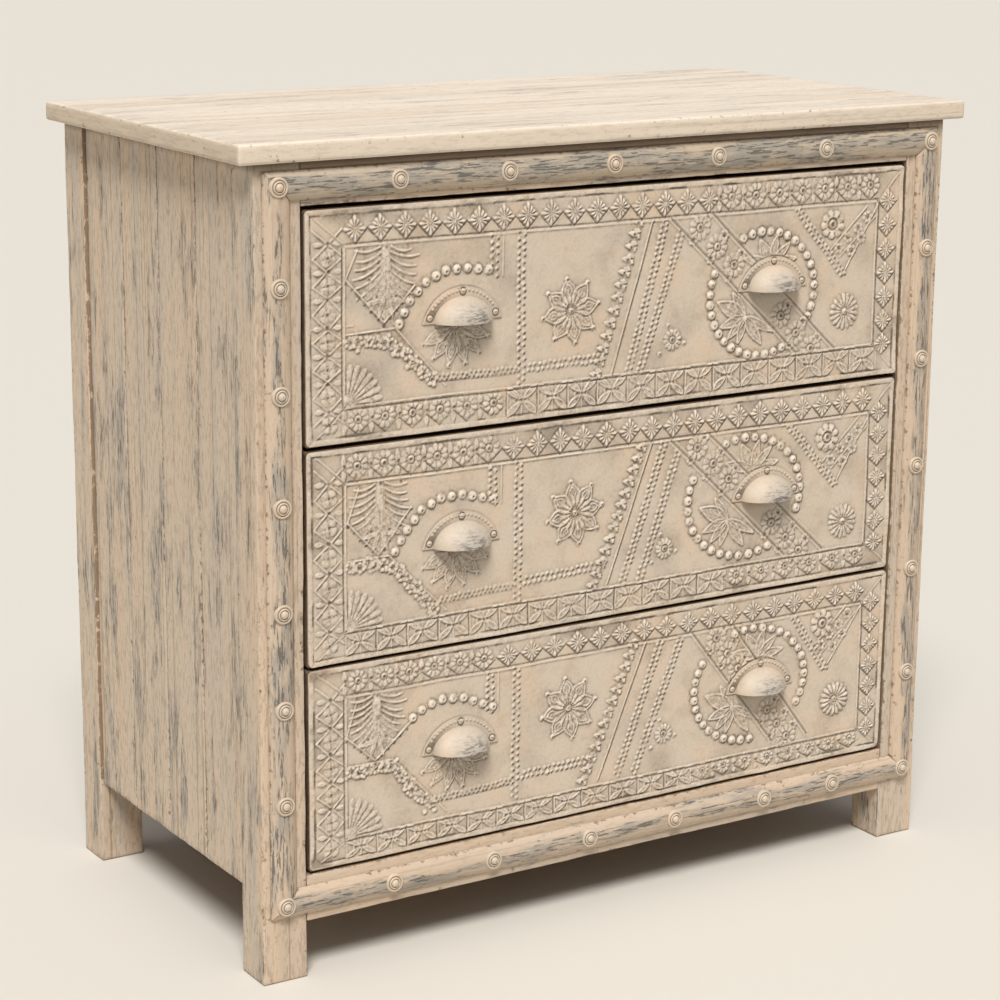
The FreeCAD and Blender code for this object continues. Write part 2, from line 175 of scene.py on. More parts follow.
def rub(mesh, low, high, seed, bare_and_shade_faces):
    """Wear a plank's edges unevenly and store how bare they are; some faces are left unpainted and dark, and
    by the drawers this paints shade into the gaps.
    """
    places = points_of(mesh).astype(float)
    low = np.array(low)
    high = np.array(high)
    to_low = places - low
    to_high = high - places
    depth = np.minimum(to_low, to_high)
    inward = np.where(to_low < to_high, 1.0, -1.0)
    order = np.argsort(depth, axis=1)
    rows = np.arange(len(places))
    second = depth[rows, order[:, 1]]
    nearness = np.exp(-np.maximum(second, 0) / edge_fall)
    shift = Vector((seed * 3.1, seed * 1.7, seed * 2.3))
    coarse = np.array([noise.noise(Vector(place) * wear_patches + shift) for place in places])
    fine = np.array([noise.noise(Vector(place) * wear_nicks + shift) for place in places])
    bare = nearness * np.clip(0.35 + 0.8 * coarse + 0.6 * fine, 0, 1)
    moves = np.zeros_like(places)
    for rank in (0, 1):
        axis = order[:, rank]
        moves[rows, axis] += inward[rows, axis] * bare * rub_depth
    axis = order[:, 0]
    moves[rows, axis] += inward[rows, axis] * plane_marks * np.clip(0.5 + coarse, 0, 1) * (1 - nearness)
    mesh.vertices.foreach_set("co", (places + moves).astype(np.float32).ravel())
    mesh.update()
    for axis, sign in bare_and_shade_faces:
        to_face = to_high if sign > 0 else to_low
        bare = np.maximum(bare, (to_face[:, axis] < bare_depth) & (places[:, 2] > feet_top))
    store(mesh, "bare", bare)
    store(mesh, "seed", np.full(len(places), seed))


def swell(share):
    """A smooth hump: 1 in the middle, 0 where the share reaches 1."""
    return 0.5 + 0.5 * np.cos(math.pi * np.clip(share, 0, 1))


def bow_radius(half, rise):
    """The radius of an arc, from half its width and its rise."""
    return (half ** 2 + rise ** 2) / (2 * rise)


def backed_surface(name, front, back_y):
    """A closed piece whose front follows rows of points and whose back is flat."""
    rows, columns, _ = front.shape
    bm = bmesh.new()
    bmesh.ops.create_grid(bm, x_segments=columns - 1, y_segments=rows - 1, size=1)
    flat = bpy.data.meshes.new(name)
    bm.to_mesh(flat)
    bm.free()
    grid = points_of(flat)
    grid = (grid - grid.min(0)) / np.ptp(grid, axis=0).clip(1e-9)
    column = np.rint(grid[:, 0] * (columns - 1)).astype(int)
    row = np.rint(grid[:, 1] * (rows - 1)).astype(int)
    flat.vertices.foreach_set("co", front[row, column].astype(np.float32).ravel())
    bm = bmesh.new()
    bm.from_mesh(flat)
    bpy.data.meshes.remove(flat)
    edges = [edge for edge in bm.edges if edge.is_boundary]
    walls = bmesh.ops.extrude_edge_only(bm, edges=edges)["geom"]
    for vert in walls:
        if isinstance(vert, bmesh.types.BMVert):
            vert.co.y = back_y
    rim = [edge for edge in walls if isinstance(edge, bmesh.types.BMEdge) and edge.is_boundary]
    bmesh.ops.contextual_create(bm, geom=rim)
    return mesh_from(bm, name), row, column


flat_share = 0.96             # how much of a flat map the front takes
wall_share = 0.985            # where the walls around it end


def lay_flat_map(mesh, row, column):
    """Lay a backed surface out for baking: its front evenly, its walls around that and its back beside it."""
    count = len(row)
    ends = np.empty(len(mesh.edges) * 2, np.int32)
    mesh.edges.foreach_get("vertices", ends)
    ends = ends.reshape(-1, 2)
    joins = ends[(ends.min(1) < count) & (ends.max(1) >= count)]
    front_of = np.arange(len(mesh.vertices))
    front_of[joins.max(1)] = joins.min(1)
    spread = np.stack((column / column.max(), row / row.max()), axis=1)[front_of] - 0.5
    share = np.where(np.arange(len(mesh.vertices)) < count, flat_share, wall_share)
    laid = 0.5 + spread * share[:, None]
    corner = np.empty(len(mesh.loops), np.int32)
    mesh.loops.foreach_get("vertex_index", corner)
    starts = np.empty(len(mesh.polygons), np.int32)
    mesh.polygons.foreach_get("loop_start", starts)
    sizes = np.empty(len(mesh.polygons), np.int32)
    mesh.polygons.foreach_get("loop_total", sizes)
    on_back = np.repeat(np.minimum.reduceat(corner, starts) >= count, sizes)
    beside = np.array((0.75 + 0.25 * wall_share, 0.5)) + spread * ((1 - wall_share) / 4, 0.9)
    places = np.where(on_back[:, None], beside[corner], laid[corner])
    flat_map = mesh.uv_layers.new(name="OFBake")
    flat_map.data.foreach_set("uv", places.astype(np.float32).ravel())


# Shader nodes

def feed(tree, socket, value):
    """Join a socket to another, or set its own value."""
    if isinstance(value, bpy.types.NodeSocket):
        tree.links.new(value, socket)
    else:
        socket.default_value = value


def add_noise(tree, vector, scale, detail=2.0, roughness=0.5, seed=0.0):
    """Four-dimensional noise, so that each piece's seed gives it a pattern of its own."""
    node = tree.nodes.new("ShaderNodeTexNoise")
    node.noise_dimensions = "4D"
    feed(tree, node.inputs["Vector"], vector)
    feed(tree, node.inputs["W"], seed)
    node.inputs["Scale"].default_value = scale
    node.inputs["Detail"].default_value = detail
    node.inputs["Roughness"].default_value = roughness
    return node.outputs["Fac"]


def add_step(tree, value, low, high):
    """A soft step from 0 at low to 1 at high."""
    node = tree.nodes.new("ShaderNodeMapRange")
    node.interpolation_type = "SMOOTHSTEP"
    feed(tree, node.inputs["Value"], value)
    node.inputs["From Min"].default_value = low
    node.inputs["From Max"].default_value = high
    return node.outputs["Result"]


def add_math(tree, operation, first, second):
    node = tree.nodes.new("ShaderNodeMath")
    node.operation = operation
    feed(tree, node.inputs[0], first)
    feed(tree, node.inputs[1], second)
    return node.outputs[0]


def times(tree, first, second):
    return add_math(tree, "MULTIPLY", first, second)


def plus(tree, first, second):
    return add_math(tree, "ADD", first, second)


def add_mix(tree, factor, first, second):
    """Blend two colours."""
    node = tree.nodes.new("ShaderNodeMix")
    node.data_type = "RGBA"
    feed(tree, node.inputs["Factor"], factor)
    feed(tree, node.inputs[6], first)
    feed(tree, node.inputs[7], second)
    return node.outputs[2]


def add_stretch(tree, vector, along, aside=1.0):
    """Coordinates drawn out along Z, where the grain runs, and aside along Y."""
    node = tree.nodes.new("ShaderNodeVectorMath")
    node.operation = "MULTIPLY"
    feed(tree, node.inputs[0], vector)
    node.inputs[1].default_value = (1, aside, along)
    return node.outputs[0]


def add_attribute(tree, name):
    """A number that a mesh keeps for each of its points; a mesh without it gives 0."""
    node = tree.nodes.new("ShaderNodeAttribute")
    node.attribute_name = name
    return node.outputs["Fac"]


def new_group(name, inputs, outputs):
    """An empty node group with named sockets, and the nodes for its two ends."""
    tree = bpy.data.node_groups.new(name, "ShaderNodeTree")
    for label, kind in inputs:
        tree.interface.new_socket(label, in_out="INPUT", socket_type=kind)
    for label, kind in outputs:
        tree.interface.new_socket(label, in_out="OUTPUT", socket_type=kind)
    start = tree.nodes.new("NodeGroupInput")
    end = tree.nodes.new("NodeGroupOutput")
    return tree, start.outputs, end.inputs


def add_tones(tree, given, seed, fine):
    """The wash itself, with warm and cool bands along the grain and duller ends."""
    broad = add_stretch(tree, given["Grain"], 0.04)
    warm = add_noise(tree, broad, 42, 1.5, seed=seed)
    warm = times(tree, add_step(tree, warm, 0.44, 0.62), fine)
    colour = add_mix(tree, warm, given["Wash"], warm_wash)
    cool = add_noise(tree, broad, 38, 1.5, seed=plus(tree, seed, 5.0))
    cool = times(tree, add_step(tree, cool, 0.46, 0.64), fine)
    colour = add_mix(tree, times(tree, cool, 0.6), colour, cool_wash)
    return add_mix(tree, times(tree, given["End"], 0.5), colour, end_wash)


def add_streaks(tree, given, colour, seed, across):
    """Clusters of dark strokes where the brush left the wood open, in a soft grey halo."""
    place = given["Grain"]
    clusters = add_noise(tree, add_stretch(tree, place, 0.16), 44, 2.5, 0.6, seed=plus(tree, seed, 9.0))
    clusters = plus(tree, clusters, given["Cover"])
    brushed = times(tree, given["Strength"], across)
    halo = times(tree, add_step(tree, clusters, 0.49, 0.66), brushed)
    soft = add_noise(tree, add_stretch(tree, place, 0.14), 170, 3, 0.7, seed=plus(tree, seed, 7.0))
    halo = times(tree, halo, add_step(tree, soft, 0.36, 0.56))
    colour = add_mix(tree, times(tree, halo, 0.65), colour, streak_grey)
    short = add_noise(tree, add_stretch(tree, place, 0.10), 390, 3, 0.7, seed=plus(tree, seed, 3.0))
    dense = times(tree, add_step(tree, clusters, 0.50, 0.60), brushed)
    streaks = times(tree, dense, add_step(tree, short, 0.53, 0.58))
    return add_mix(tree, times(tree, streaks, 0.74), colour, streak_dark), streaks


def limewash_group():
    """Limewash brushed on and rubbed back, over grain that runs along Z."""
    tree, given, made = new_group(
        "limewash",
        [
            ("Grain", "NodeSocketVector"),
            ("Seed", "NodeSocketFloat"),
            ("Bare", "NodeSocketFloat"),
            ("End", "NodeSocketFloat"),
            ("Wash", "NodeSocketColor"),
            ("Cover", "NodeSocketFloat"),
            ("Strength", "NodeSocketFloat"),
            ("Fine", "NodeSocketFloat"),
            ("ShadeAndDirt", "NodeSocketFloat"),
        ],
        [("Color", "NodeSocketColor"), ("Roughness", "NodeSocketFloat"), ("Height", "NodeSocketFloat")],
    )
    place = given["Grain"]
    seed = given["Seed"]
    across = add_math(tree, "SUBTRACT", 1.0, given["End"])
    fine = times(tree, given["Fine"], across)
    colour = add_tones(tree, given, seed, fine)

    # Short dashes and long lines of grain
    dashes = add_noise(tree, add_stretch(tree, place, 0.20), 330, 3, 0.7, seed=seed)
    grain = times(tree, add_step(tree, dashes, 0.50, 0.60), 0.5)
    colour = add_mix(tree, times(tree, grain, fine), colour, grain_brown)
    lines = add_noise(tree, add_stretch(tree, place, 0.005), 300, 1, 0.5, seed=plus(tree, seed, 2.0))
    lines = times(tree, add_step(tree, lines, 0.64, 0.68), fine)
    colour = add_mix(tree, times(tree, lines, 0.5), colour, bare_edge_and_shade)

    # Strokes of the brush along the grain and over the ends
    colour, streaks = add_streaks(tree, given, colour, seed, across)
    brush = add_noise(tree, add_stretch(tree, place, 1.0, 0.12), 300, 4, 0.7, seed=seed)
    brush = times(tree, add_step(tree, brush, 0.44, 0.62), given["End"])
    colour = add_mix(tree, times(tree, brush, 0.28), colour, grain_brown)

    # Rubbed edges, and joints darkened with dirt and painted shade
    rubbed = add_noise(tree, place, 130, 3, 0.6, seed=seed)
    rubbed = plus(tree, rubbed, times(tree, given["Bare"], 0.3))
    rubbed = add_math(tree, "MAXIMUM", add_step(tree, rubbed, 0.63, 0.76), given["ShadeAndDirt"])
    colour = add_mix(tree, times(tree, rubbed, 0.85), colour, bare_edge_and_shade)

    feed(tree, made["Color"], colour)
    feed(tree, made["Roughness"], plus(tree, times(tree, dashes, 0.25), 0.55))
    sunk = plus(tree, streaks, times(tree, lines, 0.6))
    feed(tree, made["Height"], add_math(tree, "SUBTRACT", times(tree, dashes, -0.6), sunk))
    return tree


limewash = limewash_group()


def new_material(name):
    """A material with a plain Principled shader, ready for its sockets to be fed."""
    material = bpy.data.materials.new(name)
    material.use_nodes = True
    return material, material.node_tree, material.node_tree.nodes["Principled BSDF"]


def add_bump(tree, shader, height, distance):
    node = tree.nodes.new("ShaderNodeBump")
    feed(tree, node.inputs["Height"], height)
    node.inputs["Distance"].default_value = distance
    node.inputs["Strength"].default_value = 1.0
    tree.links.new(node.outputs["Normal"], shader.inputs["Normal"])


grain_turns = {"X": (0, math.pi / 2, 0), "Y": (math.pi / 2, 0, 0), "Z": (0, 0, 0)}
grain_axes = {"X": (1, 0, 0), "Z": (0, 0, 1)}


def add_grain(tree, grain):
    """The coordinates of a piece, and the same turned so that its grain runs along Z."""
    place = tree.nodes.new("ShaderNodeTexCoord")
    turn = tree.nodes.new("ShaderNodeMapping")
    turn.inputs["Rotation"].default_value = grain_turns[grain]
    tree.links.new(place.outputs["Object"], turn.inputs["Vector"])
    return place.outputs, turn.outputs["Vector"]


def add_facing(tree, normal, direction):
    """How far a surface faces a direction: 1 straight towards it, -1 straight away."""
    node = tree.nodes.new("ShaderNodeVectorMath")
    node.operation = "DOT_PRODUCT"
    tree.links.new(normal, node.inputs[0])
    node.inputs[1].default_value = direction
    return node.outputs["Value"]


def add_crevices(tree, reach, open_at, shut_at):
    """A mask of corners and joints that lie within a reach of another surface, for painted shade and dirt
    there.
    """
    shut = tree.nodes.new("ShaderNodeAmbientOcclusion")
    shut.samples = 8
    shut.inputs["Distance"].default_value = reach
    return add_step(tree, shut.outputs["AO"], open_at, shut_at)


def limewashed_wood(
    name, grain, wash, cover, strength, fine,
    front_cover=0.0, edge_shade=0.0, crevice_shade_and_dirt=joint_shade_and_dirt, overhang_shadow=False,
):
    """Limewashed wood with its grain along an axis and more or less cover of grey streaks and fine dashes."""
    material, tree, shader = new_material(name)
    place, along_grain = add_grain(tree, grain)
    end = add_math(tree, "ABSOLUTE", add_facing(tree, place["Normal"], grain_axes[grain]), 0.0)
    # Faces towards the front take the darker front wash, which is painted shade, and a changed cover of
    # streaks
    front = add_step(tree, add_facing(tree, place["Normal"], (0, -1, 0)), 0.6, 0.9)
    if front_cover:
        wash = add_mix(tree, front, wash, front_shade_wash)
    # The upright edges of the top take a darker wash than its face: painted shade
    if edge_shade:
        level = add_math(tree, "ABSOLUTE", add_facing(tree, place["Normal"], (0, 0, 1)), 0.0)
        wash = add_mix(tree, times(tree, add_step(tree, level, 0.9, 0.5), edge_shade), wash, cream_wash)
    crowned = times(tree, add_attribute(tree, "crown"), crown_cover)
    changed = plus(tree, crowned, times(tree, front, front_cover))
    layers = tree.nodes.new("ShaderNodeGroup")
    layers.node_tree = limewash
    given = {
        "Grain": along_grain,
        "Seed": add_attribute(tree, "seed"),
        "Bare": add_attribute(tree, "bare"),
        "End": add_step(tree, end, 0.5, 0.9),
        "Wash": wash,
        "Cover": plus(tree, changed, cover),
        "Strength": strength,
        "Fine": fine,
        "ShadeAndDirt": add_crevices(tree, *crevice_shade_and_dirt),
    }
    for label, value in given.items():
        feed(tree, layers.inputs[label], value)
    colour = layers.outputs["Color"]
    # Painted shadow of the top's overhang, darker towards the top
    if overhang_shadow:
        parts = tree.nodes.new("ShaderNodeSeparateXYZ")
        tree.links.new(place["Object"], parts.inputs["Vector"])
        shade = add_step(tree, parts.outputs["Z"], carcass_top - overhang_shade, carcass_top)
        colour = add_mix(tree, times(tree, shade, shade_strength), colour, shade_brown)
    tree.links.new(colour, shader.inputs["Base Color"])
    tree.links.new(layers.outputs["Roughness"], shader.inputs["Roughness"])
    add_bump(tree, shader, layers.outputs["Height"], paint_bump)
    return material


upright_wood = limewashed_wood(
    "limewashed_upright_grain", "Z", cream_wash,
    cover=-0.010, strength=0.95, fine=0.82, front_cover=-0.10, overhang_shadow=True,
)
level_wood = limewashed_wood(
    "limewashed_level_grain", "X", front_shade_wash, cover=-0.09, strength=0.85, fine=0.5
)
# The rail under the top takes painted shadow of the overhang, by height and in its joint
shaded_wood = limewashed_wood(
    "limewashed_under_top", "X", front_shade_wash,
    cover=-0.03, strength=0.85, fine=0.5, crevice_shade_and_dirt=top_rail_shade_and_dirt, overhang_shadow=True,
)
top_wood = limewashed_wood(
    "limewashed_top", "X", pale_wash, cover=-0.02, strength=0.40, fine=0.35, edge_shade=0.55
)

# Bare planed wood, for the pieces inside and behind

bare_wood = (0.46, 0.30, 0.16, 1)
bare_dark = (0.27, 0.15, 0.07, 1)
bare_dust = (0.44, 0.37, 0.29, 1)
stain_and_gap_shade = (0.13, 0.082, 0.045, 1)


def planed_wood(name, grain, pale=bare_wood, dark=bare_dark, dusty=0.45):
    """Bare planed wood with growth lines along an axis and dust."""
    material, tree, shader = new_material(name)
    place, along_grain = add_grain(tree, grain)
    rings = add_noise(tree, add_stretch(tree, along_grain, 0.035), 130, 4, 0.65)
    colour = add_mix(tree, times(tree, add_step(tree, rings, 0.40, 0.64), 0.75), pale, dark)
    pores = add_noise(tree, add_stretch(tree, along_grain, 0.06), 620, 3, 0.7)
    colour = add_mix(tree, times(tree, add_step(tree, pores, 0.50, 0.60), 0.55), colour, dark)
    dust = add_noise(tree, place["Object"], 12, 6, 0.72)
    colour = add_mix(tree, times(tree, add_step(tree, dust, 0.44, 0.70), dusty), colour, bare_dust)
    tree.links.new(colour, shader.inputs["Base Color"])
    feed(tree, shader.inputs["Roughness"], plus(tree, times(tree, pores, 0.3), 0.55))
    add_bump(tree, shader, pores, planed_bump)
    return material


planed_upright = planed_wood("planed_upright_grain", "Z")
planed_level = planed_wood("planed_level_grain", "X")
planed_deep = planed_wood("planed_deep_grain", "Y")
# Dark stain on the drawer fronts, whose edges also paint shade into the gaps around the drawers
stained_and_shaded_level = planed_wood("stained_gap_shade_grain", "X", stain_and_gap_shade, shade_brown, dusty=0.12)

# The carcass

wood_slot = "limewashed_wood"
inner_slot = "bare_inner_wood"


def wooden_piece(node, low, high, edge_round, material, seed, slot=wood_slot, bare_and_shade_faces=()):
    """A worn plank that stands for one CAD node of the carcass."""
    low = Vector(low)
    high = Vector(high)
    mesh = mesh_from(plank(low, high, edge_round), node + "_worn")
    rub(mesh, low, high, seed, bare_and_shade_faces)
    add_piece(mesh, material, "carcass", slot, node)


wooden_piece("top_board", top_low, top_high, top_round, top_wood, top_seed)

post_faces_bare_and_shaded = {
    # the face into the drawers' opening, dark as painted shade in the gap, or the one that meets the side
    # boards
    "front_left_post": (0, 1),
    "front_right_post": (0, -1),
    "back_left_post": (1, -1),
    "back_right_post": (1, -1),
}
for number, (node, face_bare_and_shaded) in enumerate(post_faces_bare_and_shaded.items()):
    low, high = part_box(node)
    high.z = carcass_top
    wooden_piece(node, low, high, post_round, upright_wood, post_seed + number, bare_and_shade_faces=[face_bare_and_shaded])

rail_ends = ("top", "bottom")
rail_finishes = (("front", level_wood, wood_slot), ("back", planed_level, inner_slot))
for number, (face, material, slot) in enumerate(rail_finishes):
    for place, part in enumerate(rail_ends):
        node = f"{face}_{part}_rail"
        low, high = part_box(node)
        low.x = -opening_half
        high.x = opening_half
        # The rail's face towards the drawers is unpainted and dark: painted shade in the gap
        bare_and_shade_faces = [(2, -1 if part == "top" else 1)]
        finish = shaded_wood if node == "front_top_rail" else material
        seed = rail_seed + len(rail_ends) * number + place
        wooden_piece(node, low, high, board_round, finish, seed, slot, bare_and_shade_faces)

board_width = (boards_end - boards_start) / board_count
joint_faces = [(1, -1), (1, 1)]
for side_number, side in enumerate(("left", "right")):
    for number in range(board_count):
        node = f"{side}_side_board_{number + 1}"
        low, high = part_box(node)
        start = boards_start + number * board_width
        seed = board_seed + side_number * board_count + number
        low.y = start
        high.y = start + board_width
        wooden_piece(node, low, high, board_round, upright_wood, seed, bare_and_shade_faces=joint_faces)

# The moulding around the front

moulding_edge = 2 * mm
moulding_step = 7 * mm        # spacing of the points along a strip
moulding_rounds = 14
moulding_wear = 0.7 * mm
wear_along = 16               # how often the wear changes along half a strip
wear_across = 1.5             # and across half its width
lip_bare = 0.5                # how bare the two edges of a strip are
lip_fall = 0.12               # how soon that fades, as a share of half the width
crown_lean = -0.1             # where across a strip the grey band lies, from -1 at its outer edge to 1
crown_spread = 0.95
mitre_seam = 0.996            # where the worn edge of a mitre starts, as a share of half the strip


def moulding_strip(node, along, inward, material, seed):
    """A half-round strip with mitred ends along an axis; inward is the sign of the way to the drawers."""
    low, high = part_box(node)
    across = 2 - along
    width = high[across] - low[across]
    half = (high[along] - low[along]) / 2
    middle = (high[along] + low[along]) / 2
    outer = low[across] if inward > 0 else high[across]
    reach = front_y - low.y
    steps = int(2 * half / moulding_step)
    rise = reach - moulding_edge
    bow = bow_radius(width / 2, rise)
    runs = np.sort(np.append(np.linspace(-1, 1, steps + 1), (-mitre_seam, mitre_seam)))
    run, turn = np.meshgrid(runs, np.linspace(-1, 1, moulding_rounds + 1))
    from_edge = width * (1 + turn) / 2
    round_rise = np.sqrt(bow ** 2 - (turn * width / 2) ** 2) - (bow - rise)
    front = np.zeros(run.shape + (3,))
    front[..., along] = middle + run * (half - from_edge)
    front[..., across] = outer + inward * from_edge
    bumps = [
        noise.noise(Vector((place * wear_along + seed, turned * wear_across, seed)))
        for place, turned in zip(run.flat, turn.flat)
    ]
    worn = moulding_wear * np.clip(0.4 + np.reshape(bumps, run.shape), 0, 1)
    seam = np.abs(run) > (1 + mitre_seam) / 2
    front[..., 1] = front_y - moulding_edge - round_rise + np.where(seam, moulding_wear, worn)
    mesh, row, column = backed_surface(node + "_worn", front, front_y)
    bare = np.zeros(len(mesh.vertices))
    bare[:len(row)] = np.where(seam, 1.0, np.exp((np.abs(turn) - 1) / lip_fall) * lip_bare)[row, column]
    store(mesh, "bare", bare)
    crown = np.zeros(len(mesh.vertices))
    crown[:len(row)] = swell(np.abs(turn - crown_lean) / crown_spread)[row, column]
    store(mesh, "crown", crown)
    store(mesh, "seed", np.full(len(mesh.vertices), seed))
    add_piece(mesh, material, "carcass", wood_slot, node)


upright_moulding = limewashed_wood(
    "limewashed_upright_moulding", "Z", front_shade_wash, cover=-0.035, strength=1.0, fine=0.35
)
level_moulding = limewashed_wood(
    "limewashed_level_moulding", "X", front_shade_wash, cover=-0.04, strength=1.0, fine=0.35
)
# The top moulding takes a darker wash, as painted shadow of the top's overhang
top_moulding = limewashed_wood(
    "limewashed_top_moulding", "X", shaded_wash, cover=0.04, strength=1.0, fine=0.4
)
mouldings = (
    # name, the axis it runs along, the way to the drawers across it, and its material
    ("top_moulding", 0, -1, top_moulding),
    ("bottom_moulding", 0, 1, level_moulding),
    ("left_moulding", 2, 1, upright_moulding),
    ("right_moulding", 2, -1, upright_moulding),
)
for number, (node, along, inward, material) in enumerate(mouldings):
    moulding_strip(node, along, inward, material, moulding_seed + number)

# Painted metal

sheet_wash = (0.60, 0.507, 0.405, 1)
pull_wash = (0.53, 0.45, 0.36, 1)
screw_wash = (0.60, 0.51, 0.41, 1)
stud_wash = (0.56, 0.465, 0.36, 1)
pale_paint_and_highlight = (0.78, 0.695, 0.59, 1)
smudge_grey = (0.44, 0.345, 0.265, 1)
dirt_and_shade_brown = (0.105, 0.08, 0.057, 1)
scuff_grey = (0.13, 0.12, 0.115, 1)
rubbed_grey = (0.43, 0.395, 0.355, 1)
metal_bump = 0.2 * mm


def painted_metal(name, paint, crevices):
    """Limewash on metal: dirt and painted shade in hollows, pale high places with a painted highlight and
    scuffs on a pull's belly.
    """
    material, tree, shader = new_material(name)
    place = tree.nodes.new("ShaderNodeTexCoord").outputs["Object"]
    cloud = add_noise(tree, place, 14, 4, 0.6)
    colour = add_mix(tree, times(tree, add_step(tree, cloud, 0.42, 0.66), 0.7), paint, warm_wash)
    smudge = add_noise(tree, place, 38, 4, 0.65, seed=4.0)
    smudge = times(tree, add_step(tree, smudge, 0.50, 0.68), 0.40)
    colour = add_mix(tree, smudge, colour, smudge_grey)
    speck = add_noise(tree, place, 420, 3, 0.6)
    colour = add_mix(tree, times(tree, add_step(tree, speck, 0.50, 0.68), 0.12), colour, dirt_and_shade_brown)
    chased = add_noise(tree, place, 260, 2, 0.55, seed=8.0)
    chased = add_math(tree, "ABSOLUTE", add_math(tree, "SUBTRACT", chased, 0.5), 0.0)
    chased = times(tree, add_step(tree, chased, 0.05, 0.01), add_attribute(tree, "worked"))
    colour = add_mix(tree, times(tree, chased, 0.5), colour, dirt_and_shade_brown)
    # High places are paler: rubbed paint, and a painted highlight
    raised = add_attribute(tree, "raised")
    colour = add_mix(tree, times(tree, raised, 0.8), colour, pale_paint_and_highlight)
    hollow = add_attribute(tree, "hollow")
    # Crevices are darkened as painted shade
    if crevices:
        shut = add_crevices(tree, crevices, 0.75, 0.30)
        hollow = add_math(tree, "MAXIMUM", hollow, times(tree, shut, 0.7))
    patchy = plus(tree, times(tree, speck, 0.9), 0.45)
    colour = add_mix(tree, times(tree, hollow, patchy), colour, dirt_and_shade_brown)
    belly = add_attribute(tree, "belly")
    colour = add_mix(tree, times(tree, belly, 0.6), colour, rubbed_grey)
    marks = add_noise(tree, add_stretch(tree, place, 4.0), 95, 5, 0.75)
    worn = times(tree, add_step(tree, marks, 0.49, 0.56), belly)
    colour = add_mix(tree, times(tree, worn, 0.9), colour, scuff_grey)
    tree.links.new(colour, shader.inputs["Base Color"])
    rough = plus(tree, times(tree, speck, 0.3), 0.45)
    tree.links.new(rough, shader.inputs["Roughness"])
    add_bump(tree, shader, add_math(tree, "SUBTRACT", speck, worn), metal_bump)
    return material


sheet_paint = painted_metal("limewashed_sheet", sheet_wash, 0)
pull_paint = painted_metal("limewashed_pull", pull_wash, 3.5 * mm)
screw_paint = painted_metal("limewashed_screw", screw_wash, 2 * mm)
stud_paint = painted_metal("limewashed_stud", stud_wash, 4 * mm)

# The rosette studs

# The outline of a stud in millimetres: out from its middle, and forward of the crown of the moulding
stud_outline = [
    (10.5, -3.5), (10.5, 0.0), (10.1, 0.9), (9.2, 1.45), (8.2, 1.2), (7.6, 0.5), (7.2, 0.4), (6.8, 1.3),
    (6.0, 2.15), (5.2, 1.8), (4.7, 0.9), (4.4, 1.5), (3.7, 3.0), (2.3, 3.95), (0.9, 4.2), (0.0, 4.2),
]
stud_turns = 26
stud_hollows = (7.6, 7.2, 4.7)
hollow_dirt = 0.7
stud_pit = 0.5                # radius of the dark point in the middle
pit_dirt = 0.6
pale_rise = 4                 # how far forward a stud is palest, rubbed and with a painted highlight
stud_pale = 0.2
# Where the studs stand on each strip, as shares of the way between its corner studs
stud_shares = {
    "top": (0.164, 0.320, 0.477, 0.640, 0.817),
    "bottom": (0.155, 0.305, 0.457, 0.597, 0.750, 0.871),
    "left": (0.148, 0.286, 0.423, 0.570, 0.723, 0.867),
    "right": (0.161, 0.331, 0.497, 0.666, 0.838),
}


def rosette_studs():
    """Pressed studs along the crown of the moulding and at its corners."""
    low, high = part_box("rosette_studs")
    radius = max(place for place, _ in stud_outline) * mm
    left = low.x + radius
    right = high.x - radius
    bottom = low.z + radius
    top = high.z - radius
    places = [(left, bottom), (right, bottom), (left, top), (right, top)]
    places += [(left + (right - left) * share, top) for share in stud_shares["top"]]
    places += [(left + (right - left) * share, bottom) for share in stud_shares["bottom"]]
    places += [(left, bottom + (top - bottom) * share) for share in stud_shares["left"]]
    places += [(right, bottom + (top - bottom) * share) for share in stud_shares["right"]]
    crown = low.y + stud_outline[-1][1] * mm
    bm = bmesh.new()
    for x, z in places:
        verts = [bm.verts.new((x + out * mm, crown - rise * mm, z)) for out, rise in stud_outline]
        edges = [bm.edges.new(pair) for pair in zip(verts, verts[1:])]
        bmesh.ops.spin(
            bm, geom=verts + edges, cent=(x, crown, z), axis=(0, 1, 0), angle=full_turn,
            steps=stud_turns, use_merge=True,
        )
    mesh = mesh_from(bm, "rosette_studs_pressed")
    spots = points_of(mesh)
    out = np.min([np.hypot(spots[:, 0] - x, spots[:, 2] - z) for x, z in places], axis=0) / mm
    hollow = np.isin(np.round(out, 1), stud_hollows)
    store(mesh, "hollow", np.maximum(hollow * hollow_dirt, (out < stud_pit) * pit_dirt))
    store(mesh, "raised", np.clip((crown - spots[:, 1]) / mm / pale_rise, 0, 1) * stud_pale)
    add_piece(mesh, stud_paint, "carcass", "limewashed_stud_metal", "rosette_studs")


rosette_studs()

# The embossed sheets

# Their pattern is in millimetres on each drawer: u to the right of its middle and v up from its lower edge,
# on a drawer of the pattern's height. Heights stand forward from the plain field.
pattern_height = 246
relief_cell = 0.9             # spacing of the points of the grid
rim_width = 6.2
rim_height = 0.5
corner_round = 5
deepest = -0.9                # no dent goes deeper
punch_size = 1.25             # how much wider a punched hole is than its tool
plate_margin = 1.4            # how far the sheet is pressed flat beyond the plate of a pull
shadow_reach_below_pull = 17               # how far the painted shadow reaches below a pull
shadow_under_pull = 0.6
panel_cuts = (-131.5, 131.5)  # where the three panels of a sheet meet
feather_count = 8             # on each side of a palmette

# Unevenness of the handwork: over what reach it drifts, and how far
broken_groove = (7, 0.7)
uneven_rise = (2.6, 0.22)
rough_skin = (1.3, 0.12)
slack_field = (14, 0.2)
loose_drawing = (22, 0.55)

